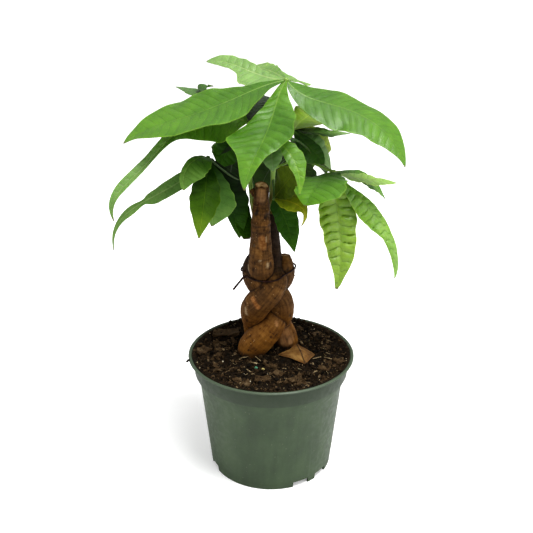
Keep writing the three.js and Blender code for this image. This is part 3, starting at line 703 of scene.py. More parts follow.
photoChips = [  # x, y, length, width, turn and shade of the large ones beside the trunk
    (-43.8, 40.5, 25, 11, 9, 0.68), (-64, 4.6, 14, 11, 48, 0.62), (-6.8, -44.5, 14, 9, -12, 0.64),
    (28.5, 50.9, 8, 4, -50, 0.74), (62, -14.5, 8, 9, 20, 0.6), (47.1, -28.3, 11, 5, -14, 0.6),
    (6, -35.5, 10, 8, -40, 0.5), (-50, -22, 9, 5, -35, 0.5), (-30, -48, 8, 5, 25, 0.5),
    (26, -56, 9, 5, 12, 0.48), (52, 14, 8, 5, -30, 0.52), (44, 38, 9, 5, 30, 0.5),
]
photoSplinters = [  # middle, length, turn, width and shade of the pale ones at the trunk's foot
    (-25.3, -2.5, 10.5, 23, 2.0, 0.7), (-12.8, -5.5, 15, -63, 1.0, 0.8), (-16.2, -16, 8, -26, 1.5, 0.82),
    (-19, -29.8, 14, -58, 2.0, 0.76), (9.8, -20, 8, -12, 1.2, 0.76), (-10, 1, 6, 20, 0.9, 0.8),
    (42.5, -2.8, 8, 22, 1.5, 0.76), (52, -10, 8, -30, 1.6, 0.74), (37, -34.2, 9, 35, 1.6, 0.72),
    (22.5, -42.3, 9, 28, 1.5, 0.78), (30, -52, 7, -10, 1.0, 0.7), (-40, -36, 8, 40, 1.1, 0.68),
    (56, 24, 8, -50, 1.1, 0.7), (-52, 20, 8, 70, 1.1, 0.7), (38, 28, 7, 60, 1.0, 0.74),
]
photoGrains = [  # x, y and size of the pale grains in the soil
    (-19, -49.3, 1.3), (-13.2, 12.4, 0.9), (-6.1, 8, 1.1), (16.7, -51.1, 0.8), (10.1, -50.8, 0.8),
    (-44, -12, 0.8), (30, 22, 0.8), (60, 6, 0.8),
]
rimLumps = [  # x, y and size of the lumps that stand up against the lip at the back
    (-44, 54, 2.4), (-40, 58.5, 2.8), (-35, 61, 2.4), (-30, 64, 2.8), (-25, 66, 2.2), (-48, 50, 2),
    (24, 67, 2.2), (28, 64.5, 3), (33, 62, 2.4), (38, 58, 1.8),
]
beadPlace = (-13.6, -24, 107.2)
yellowBitPlace = (-7.3, -25.9, 107)
lipCrumbPlace = (-74.6, -16.5, 110.6)


def makeCrumbs():
    draw = random.Random(11)
    bm, tone = startMesh("tone")

    def somewhere(reach):
        while True:
            radius, turn = reach * sqrt(draw.random()), draw.uniform(0, tau)
            x, y = radius * cos(turn), radius * sin(turn)
            if not inTrunk(x, y) and not underLeaf(x, y):
                return x, y
    small, large = soil["crumbSize"]
    for _ in range(soil["crumbs"]):
        size = small + (large - small) * draw.random() ** 2.2
        x, y = somewhere(soil["crumbReach"] - size)
        shade = max(draw.gauss(0.24, 0.13), 0.04) if draw.random() < 0.88 else draw.uniform(0.42, 0.68)
        place = onSoil(x, y, size * draw.uniform(0, 0.5))
        sizes = (size, size * draw.uniform(0.6, 1), size * draw.uniform(0.5, 0.9))
        addLump(bm, tone, place, sizes, shade, draw)
    for _ in range(soil["perlite"]):
        x, y = somewhere(soil["perliteReach"])
        size = draw.uniform(0.35, 0.8)
        addLump(bm, tone, onSoil(x, y, size * 0.4), (size,) * 3, draw.uniform(0.8, 1), draw)
    for x, y, size in photoGrains:
        addLump(bm, tone, onSoil(x, y, size * 0.6), (size,) * 3, 0.97, draw)
    for x, y, size in rimLumps:
        addLump(bm, tone, onSoil(x, y, size * 0.5), (size, size * 0.8, size * 0.7),
                draw.uniform(0.16, 0.34), draw, 2)
    addLump(bm, tone, Vector(lipCrumbPlace), (2.2, 1.6, 1.1), 0.12, draw, 2)
    addLump(bm, tone, Vector(lipCrumbPlace) + Vector((-1.6, -1.5, -0.4)), (1.5, 0.8, 0.6), 0.1, draw)
    addPiece("soil_crumbs", bm, [pottingMix], "potting_mix", creaseAngle=30)
    bm, tone = startMesh("tone")
    for _ in range(soil["fibres"]):
        x, y = somewhere(soil["fibreReach"])
        length, turn = draw.uniform(1.8, 7.5), draw.uniform(0, tau)
        half = Vector((cos(turn), sin(turn), draw.uniform(-0.25, 0.25))) * length / 2
        middle = onSoil(x, y, 0.5)
        shade = draw.uniform(0.2, 0.55) if draw.random() < 0.72 else draw.uniform(0.6, 0.86)
        addFibre(bm, tone, middle - half, middle + half, draw.uniform(0.35, 0.9), shade, draw)
    for x, y, length, turn, width, shade in photoSplinters:
        half = Vector((cos(radians(turn)), sin(radians(turn)), 0.06)) * length / 2
        middle = onSoil(x, y, 1.0)
        addFibre(bm, tone, middle - half, middle + half, width, shade, draw)
    addPiece("soil_fibres", bm, [pottingMix], "potting_mix", creaseAngle=30)


def makeBead(name, place, size, colour, seed):  # a small grain with a rough, slightly glossy skin
    material, tree, shader = newMaterial(name + " skin", Roughness=0.42)
    patches = mottled(tree, objectPlace(tree), 700.0)
    dark = tuple(0.5 * value for value in colour[:3]) + (1,)
    mixed = blendColours(ease(patches["Fine"], 0.35, 0.65), dark, colour)
    plug(shader.inputs["Base Color"], mixed)
    bm = bmesh.new()
    bmesh.ops.create_icosphere(bm, subdivisions=4, radius=1, matrix=moved(place) @ sized(size))
    for vert in bm.verts:
        away = vert.co - Vector(place) * mm
        vert.co += away * 0.12 * noise.noise(away / mm + Vector((seed, 0, 0)))
    addPiece(name, bm, [material], "potting_mix")


pottingMix = makeSoilMaterial()
makeSoil()
makeChips()
makeCrumbs()
makeBead("soil_bead", beadPlace, (1.5, 1.5, 1.4), srgb(84, 150, 118), 2)
makeBead("soil_grain", yellowBitPlace, (1.6, 1.2, 1.1), srgb(196, 178, 112), 6)
print("soil done")


# the trunk: four stems braided round each other, each from its cut top down into the soil
stems = {
    "stem_front": [
        (-8, 8, 270, 5.6), (-8.6, 8, 260, 6.4), (-9, 7.5, 240, 7.8), (-9.4, 7, 217, 9.4),
        (-9.4, 6.6, 201, 11), (-9, 8.2, 191, 11.9), (-5.5, 17, 182, 11.4), (0, 25, 170, 11.2),
        (6, 27, 156, 11.2), (5, 21, 144, 11.4), (1, 13.5, 133, 12.4), (-8, 10, 122, 13.4),
        (-16.5, 11, 111, 13.8), (-19.5, 13.5, 99, 12.5), (-20, 16, 86, 9),
    ],
    "stem_right": [
        (-2.6, 21, 239, 7.2), (-1.6, 20.5, 228, 7.9), (-0.8, 20, 213, 8.8), (-0.2, 18.5, 200, 9.8),
        (0.6, 15, 188, 10.8), (3.4, 9.4, 177, 11.8), (-3.4, 5.8, 167, 12.8), (-12, 8, 156, 13.2),
        (-16, 16, 144, 12.6), (-15, 26, 131, 12), (-13.5, 32, 117, 12), (-13.5, 33, 103, 12),
        (-14, 33, 88, 9),
    ],
    "stem_left": [
        (-9, 23.5, 226, 6.6), (-8.4, 24, 214, 7.4), (-8.6, 23.4, 202, 8.6), (-14.4, 15.6, 187, 11.8),
        (-11.6, 12.6, 177, 12.3), (-2, 18, 166, 12), (7.6, 17, 156, 12), (10, 17, 146, 11.6),
        (8, 25, 135, 11.6), (3, 33, 122, 12), (0, 37, 106, 12), (0, 37, 88, 9),
    ],
    "stem_short": [
        (12.4, 20.5, 199, 4.6), (12.2, 20, 194, 7.4), (11, 18.6, 186, 10.8), (8.5, 25, 174, 11.6),
        (0, 33, 162, 12), (-9, 33, 148, 12), (-5, 34, 135, 12), (7, 31, 124, 12),
        (13.8, 26.5, 112, 12), (15, 26.5, 100, 11.5), (15, 27, 87, 9),
    ],
}
bark = {
    "sides": 76,
    "step": 1.1,
    "lump": 0.42,  # how far the bark swells and sinks
    "wrinkle": 0.16,
    "markReach": 14,
    "darkBarkAndShade": (180, 193),  # heights between which the stems behind turn dark, partly dark bark and partly painted shade
    "meetingShade": (-0.2, 1.7),  # gaps between two stems, over which they are darkened with painted shade
    "cutPoint": (-8.2, 8, 267.4),
    "cutNormal": (0.12, -0.34, 1),
    "stub": [(-11, 9, 257, 3), (-14.6, 9.5, 259.6, 2.8), (-17, 10, 263, 2.5)],
    "stubSides": 18,
    "bristleSides": 7,
    "capRims": ((0.7, -0.15), (1.4, -0.25)),  # width and depth of the two rims of a cut top
}
# marks on the bark: from, to, radius, how far it stands out, and its look (x scar, y pale, z dark); the dark
# in a sunken mark is painted shade in its pit
barkMarks = [
    ((-16, -2.4, 165.5), (-11.4, -5.3, 159), 2.6, 0.45, (1, 0, 0)),
    ((4.8, 3.3, 140), (4.8, 3.3, 136), 1.7, 0.6, (0.6, 0.1, 0)),
    ((10.4, 17.6, 121.2), (5.8, 18.2, 111.4), 1.0, 0.5, (0, 0.7, 0.2)),
    ((-10.9, -3.9, 202.2), (-9.3, -4.2, 202.3), 0.8, 0.25, (0, 0.4, 0)),
    ((-3.2, -2.6, 199.2), (-3.2, -2.6, 196.8), 1.5, 0.5, (0, 0.5, 0)),
    ((-0.6, 0.2, 199.2), (-0.4, 0.7, 196), 1.1, -0.7, (0, 0, 1)),
    ((-19.4, 3.8, 195), (-19.4, 3.8, 191), 1.9, 0.3, (0.1, 0.5, 0)),
    ((-22.2, 0.9, 155), (-22.2, 0.9, 149), 1.7, 0.3, (0.1, 0.5, 0)),
    ((16.5, 9, 146), (16.5, 9, 144), 1.3, -0.5, (0, 0.2, 0.9)),
    ((12.8, 9.4, 187), (14.8, 10, 189), 1.0, -0.5, (0, 0, 1)),
    ((-15, -0.6, 215.6), (-14.6, -0.7, 215), 0.9, -0.4, (0, 0.3, 0.8)),
    ((-13.8, 1.4, 243.6), (-12.2, 0.9, 246.4), 1.6, -0.6, (0, 0, 1)),
    ((-5.6, 1.2, 240.8), (-3.8, 1.8, 242), 1.3, -0.5, (0, 0, 1)),
    ((-8.2, -1.2, 222), (-7.4, -1.4, 215), 3.6, 0.2, (0.55, 0, 0)),
    ((-4.9, -0.2, 223.5), (-4.7, -0.3, 219), 0.8, 0.35, (0.1, 0.55, 0)),
    ((-12.2, 2.2, 256), (-10.4, 1.8, 252), 2.0, -0.3, (0.5, 0, 0.4)),
    # painted light: a broad, lighter patch on the trunk's right foot
    ((11, 15.5, 122), (17, 16, 108), 8.5, 0.5, (0.55, 0.12, 0)),
    ((9, 14, 116), (11, 14.5, 112), 2.2, 0.6, (0.3, 0.1, 0)),
    ((-8.5, 1.6, 264), (-8.5, 1.4, 258), 4.5, 0.2, (0.4, 0.12, 0)),
    ((18, 14.5, 117), (18.5, 15, 112), 2.4, 0.6, (0.3, 0.1, 0)),
]
barkRings = [(234.5, 0.5), (245.5, 0.45), (229, 0.3)]  # old leaf nodes on the front stem: height, rise
bristles = [  # from, to and radius
    ((19.3, 13, 188.1), (23.2, 12, 188.6), 0.5), ((20.6, 14.6, 182), (22.4, 13.8, 180), 0.4),
    ((-21.3, 10.2, 194.6), (-24, 8.6, 195.6), 0.45), ((17.2, 16, 196.5), (19, 15.2, 196.9), 0.4),
]


def makeBark():
    material, tree, shader = newMaterial("bark", Specular_IOR_Level=0.22)
    straight = attribute(tree, "straight")
    scarred, pale, dark = split(attribute(tree, "marks"))
    height = split(objectPlace(tree))[2]
    patches = mottled(tree, straight, 95.0)
    fibres = noiseAt(stretched(straight, (1, 1, 0.22)), 620.0, 5.0, 0.6)
    wrinkles = noiseAt(stretched(straight, (1, 1, 2.6)), 150.0, 4.0, 0.62)
    grain = plus(times(fibres, 0.5), times(wrinkles, 0.5))
    shade = plus(times(grain, 0.62), times(patches["Broad"], 0.38))
    foot, upper, crown = [ramp(shade, stops) for stops in (
        [(0.32, 50, 28, 6), (0.47, 106, 68, 20), (0.6, 138, 94, 34), (0.72, 166, 126, 64)],
        [(0.32, 32, 18, 5), (0.46, 74, 48, 16), (0.6, 112, 76, 31), (0.74, 152, 116, 64)],
        [(0.34, 26, 15, 4), (0.46, 64, 42, 12), (0.58, 106, 71, 28), (0.72, 150, 108, 56)],
    )]
    scar = ramp(grain, [(0.35, 108, 62, 24), (0.5, 160, 106, 54), (0.65, 180, 132, 80)])
    level = plus(height, times(minus(patches["Broad"], 0.5), 0.04))
    pores = useGroup(tree, specks, Place=stretched(straight, (1, 1, 1.7)), Scale=330.0, Size=0.2,
                     Share=0.2)["Spots"]
    dirt = times(ease(height, 0.107, 0.112, 1.0, 0.0), ease(grain, 0.4, 0.55))
    colour = coated(
        foot,
        (ease(level, 0.126, 0.160), upper),
        (ease(level, 0.222, 0.250), crown),
        (times(pores, 0.55), srgb(190, 156, 112)),
        (ease(grain, 0.36, 0.44, 0.75, 0.0), srgb(36, 20, 10)),
        (times(scarred, 0.75), scar),
        (times(pale, 0.75), srgb(206, 184, 146)),
        # the dark look: partly dark bark, partly painted shade in the pits, below the rings, where stems
        # meet and on the stems behind
        (times(dark, 0.86), srgb(24, 13, 7)),
        (dirt, srgb(50, 34, 22)),
    )
    relief = plus(grain, times(pores, 0.25))
    dress(shader, colour, relief, 0.75, 0.0007, ease(grain, 0.35, 0.6, 0.92, 0.62))
    return material


def makeCutWood():
    material, tree, shader = newMaterial("cut wood", Roughness=0.85, Specular_IOR_Level=0.2)
    patches = mottled(tree, objectPlace(tree), 260.0)
    colour = coated(
        ramp(patches["Broad"], [(0.35, 96, 62, 34), (0.5, 160, 118, 76), (0.66, 206, 174, 132)]),
        (ease(patches["Fine"], 0.55, 0.7, 0.0, 0.7), srgb(60, 38, 20)),
    )
    dress(shader, colour, patches["Fine"], 0.6, 0.0006)
    return material


def otherStations(name):  # middles and radii of the other stems, to find where two stems meet
    others = [station for other, points in stems.items() if other != name
              for station in smoothPath(points, 2)]
    tree = kdtree.KDTree(len(others))
    for i, (place, _, _) in enumerate(others):
        tree.insert(place, i)
    tree.balance()
    return tree, others


def roughenBark(bm, verts, name, seed):
    straight, marks = [bm.verts.layers.float_vector[layer] for layer in ("straight", "marks")]
    tree, others = otherStations(name)
    bm.normal_update()
    outward = {vert: vert.normal.copy() for vert in verts}
    for vert in verts:
        place = vert[straight] / mm + Vector((seed * 40, 0, 0))
        lift = bark["lump"] * noise.noise(place / 9) + 0.5 * bark["lump"] * noise.noise(place / 4)
        ridged = Vector((place.x, place.y, place.z * 2.2))
        lift += bark["wrinkle"] * noise.noise(ridged / 2.2)
        look = Vector()
        for start, end, radius, rise, kind in barkMarks:
            where, start, end = vert.co / mm, Vector(start), Vector(end)
            if (where - start).length > bark["markReach"]:
                continue
            share = min(max(geometry.intersect_point_line(where, start, end)[1], 0), 1)
            away = (where - start.lerp(end, share)).length
            inside = 1 - smoothStep(away, radius * 0.6, radius * 1.25)
            rim = exp(-((away - radius * 1.1) / (radius * 0.35)) ** 2)
            lift += rise * (0.4 * inside + 0.6 * rim) if rise > 0 else rise * inside
            look += Vector(kind) * inside
            look.z += 0.3 * rim
        if name in ("stem_right", "stem_left"):  # painted shade on the stems behind above the braid, over their dark bark
            look.z += 0.95 * smoothStep(vert.co.z / mm, *bark["darkBarkAndShade"])
        if name == "stem_front":
            for height, rise in barkRings:
                offset = vert.co.z / mm - height + 1.2 * noise.noise(place / 5)
                lift += rise * exp(-(offset / 1.3) ** 2)
                # painted shade in a band just below each ring
                look.z += 0.55 * exp(-((offset + 1.9) / 0.8) ** 2)
        # painted shade where two stems meet, darkest where they touch
        gaps = [distance - others[i][1] for _, i, distance in tree.find_n(vert.co, 4)]
        look.z += 0.9 * (1 - smoothStep(min(gaps) / mm, *bark["meetingShade"]))
        vert[marks] = Vector((min(look.x, 1), min(look.y, 1), min(look.z, 1)))
        vert.co += outward[vert] * lift * mm


def capStem(bm, edges):  # closes a cut top: a rim of bark round the paler wood
    face = bmesh.ops.contextual_create(bm, geom=edges)["faces"][0]
    for width, depth in bark["capRims"]:
        inner = bmesh.ops.inset_region(bm, faces=[face], thickness=width * mm, depth=depth * mm)["faces"]
    core = bmesh.ops.poke(bm, faces=[face])["faces"]
    for made in (*inner, *core):
        made.material_index = 1


def makeStem(name, points, seed):
    bm = startMesh("straight", "marks")[0]
    path = smoothPath(points, bark["step"])
    verts, ends = addRod(bm, path, bark["sides"], capped=False)
    roughenBark(bm, verts, name, seed)
    top, bottom = ends
    bmesh.ops.contextual_create(bm, geom=bottom)
    if name == "stem_front":
        bmesh.ops.bisect_plane(bm, geom=bm.verts[:] + bm.edges[:] + bm.faces[:], clear_outer=True,
                               plane_co=Vector(bark["cutPoint"]) * mm, plane_no=Vector(bark["cutNormal"]))
        top = [edge for edge in bm.edges if edge.is_boundary]
    capStem(bm, top)
    if name == "stem_front":
        addRod(bm, rounded(smoothPath(bark["stub"], 0.8), 0.3), bark["stubSides"])
    if name == "stem_short":
        for start, end, radius in bristles:
            spike = [(Vector(start).lerp(Vector(end), share) * mm, radius * thick * mm, 0)
                     for share, thick in ((0, 1), (0.5, 0.8), (1, 0.3))]
            addRod(bm, spike, bark["bristleSides"])
    bmesh.ops.recalc_face_normals(bm, faces=bm.faces[:])
    addPiece(name + "_bark", bm, [barkSkin, cutWood], "bark", name)


barkSkin = makeBark()
cutWood = makeCutWood()
for seed, (name, points) in enumerate(stems.items()):
    makeStem(name, points, seed)
print("trunk done")


# the thin dark tie round the braid
tie = {
    "radius": 0.75,
    "endRadius": 1.0,  # the free end, which sticks out at the left, is the thicker part
    "sides": 10,
    "step": 0.8,
    "path": [
        (-33.6, -4, 175.4), (-28.4, 1.6, 180), (-23.4, 5, 184), (-15.8, 0.5, 182.7), (-8, -0.6, 181.7),
        (-1, -1.6, 181.9), (6.4, -0.8, 183.6), (11.9, 4.4, 185.8), (18.9, 10.3, 187.6), (22.3, 20.1, 188.8),
        (15.9, 28.8, 189.4), (2.9, 27.6, 189.4), (-8.4, 28.8, 188.4), (-17, 28.9, 187.8), (-24.9, 23, 187.2),
        (-27.2, 13.2, 187), (-24.4, 7.2, 188.4),
    ],
}


def makeTie():
    material, tree, shader = newMaterial("tie", Roughness=0.6, Specular_IOR_Level=0.2)
    patches = mottled(tree, attribute(tree, "straight"), 240.0)
    colour = ramp(patches["Broad"], [(0.35, 24, 10, 6), (0.6, 46, 22, 14), (0.75, 84, 50, 36)])
    dress(shader, colour, patches["Fine"], 0.5, 0.0003)
    bm = startMesh("straight")[0]
    knots = [(*place, tie["endRadius"] if i < 3 else tie["radius"]) for i, place in enumerate(tie["path"])]
    path = smoothPath(knots, tie["step"])
    addRod(bm, rounded(path), tie["sides"], nominal=tie["radius"] * mm)
    addPiece("tie_loop", bm, [material], "tie", "tie_wire")


makeTie()
print("tie done")


# green shoots that carry the leaves
shoots = {
    "shoot_right": [(-1.8, 21, 239.5, 2.4), (0.4, 18.5, 258, 2.2), (2, 15, 288, 1.9), (3, 13, 318, 1.5)],
    "shoot_left": [(-12.4, 24.4, 226.4, 2.1), (-16.4, 20.5, 245, 2), (-18.4, 17.5, 274, 1.8),
                   (-18, 16, 303, 1.4)],
}
shootNodes = (0.12, 0.3, 0.5, 0.66, 0.82)  # places of the old leaf joints, as a share of the shoot


def makeStalkSkin():
    material, tree, shader = newMaterial("green stalk", Roughness=0.42, Subsurface_Weight=0.15,
                                         Subsurface_Radius=(0.6, 1.0, 0.3), Subsurface_Scale=0.0015)
    straight = attribute(tree, "straight")
    tint = split(attribute(tree, "tint"))
    patches = mottled(tree, straight, 150.0)
    streaks = noiseAt(stretched(straight, (1, 1, 0.12)), 900.0, 3.0)
    shade = plus(tint[0], times(minus(streaks, 0.5), 0.5))
    colour = coated(
        ramp(shade, [(0.05, 22, 44, 8), (0.35, 70, 104, 32), (0.65, 118, 154, 60), (1.0, 166, 192, 98)]),
        (tint[1], srgb(142, 118, 50)),
        (ease(patches["Fine"], 0.55, 0.7, 0.0, 0.35), srgb(120, 110, 48)),
    )
    dress(shader, colour, streaks, 0.35, 0.0002)
    return material


def tintAll(bm, verts, tone, brown):
    tint = bm.verts.layers.float_vector["tint"]
    for vert in verts:
        vert[tint] = Vector((tone, brown, 0))


def makeShoot(name, points):
    bm, _, tint = startMesh("straight", "tint")
    path = smoothPath(points, 1.0)
    total = path[-1][2]
    swollen = []
    for place, radius, distance in path:
        swell = sum(exp(-((distance / total - node) * total / (1.6 * mm)) ** 2) for node in shootNodes)
        swollen.append((place, radius + 0.35 * mm * swell, distance))
    verts, _ = addRod(bm, rounded(swollen), 20, nominal=2 * mm)
    for vert in verts:
        low = 1 - smoothStep(vert.co.z / mm, points[0][2] + 4, points[0][2] + 40)
        vert[tint] = Vector((0.42 + 0.25 * (1 - low), 0.75 * low, 0))
    addPiece(name + "_stalk", bm, [stalkSkin], "green_stem", name)


stalkSkin = makeStalkSkin()
for name, points in shoots.items():
    makeShoot(name, points)
print("shoots done")


# leaves: each leaflet follows its midrib from the hub, most of them on the solid's path and as wide;
# tone goes from deep to fresh green, and its low values are also painted shade on the leaves inside the
# canopy;
# yellow and pale are the shares of those colours, pale a whitish green that is painted sheen of reflected
# light
blade = {
    "thickness": 0.45,
    "along": 0.95,  # size of a mesh cell along and across
    "across": 1.25,
    "fewestRows": 24,
    "veinGap": 7.6,
    "veinHook": 0.007,
    "wave": 0.035,  # height of the margin's waves, as a share of the width
    "uneven": 0.9,  # how unlike each other the puffs between the veins are
    "slant": 0.3,  # these four, where a leaflet has none of its own
    "wander": 0.15,
    "crisp": 0.75,
    "fold": 0.12,
}
stalk = {
    "radius": 1.15,
    "step": 1.2,
    "sides": 14,
    "hubRadius": 2.0,
    "hubSwell": 0.35,
    "footSwell": 0.3,
    "ribSides": 8,
    "ribStations": 40,
}
bladeOutline = [
    (0, 0.05), (0.08, 0.16), (0.2, 0.5), (0.35, 0.84), (0.5, 1),
    (0.62, 0.98), (0.75, 0.8), (0.86, 0.5), (0.94, 0.22), (1, 0.03),
]


def newLeaflet(path, widths, roll=(0, 0), **look):
    # widths: that of a plain blade, or rows of the share along and the half-widths on both sides
    if not isinstance(widths, list):
        widths = [(t, widths / 2 * share, widths / 2 * share) for t, share in bladeOutline]
    return {"path": path, "widths": widths, "roll": roll, **look}


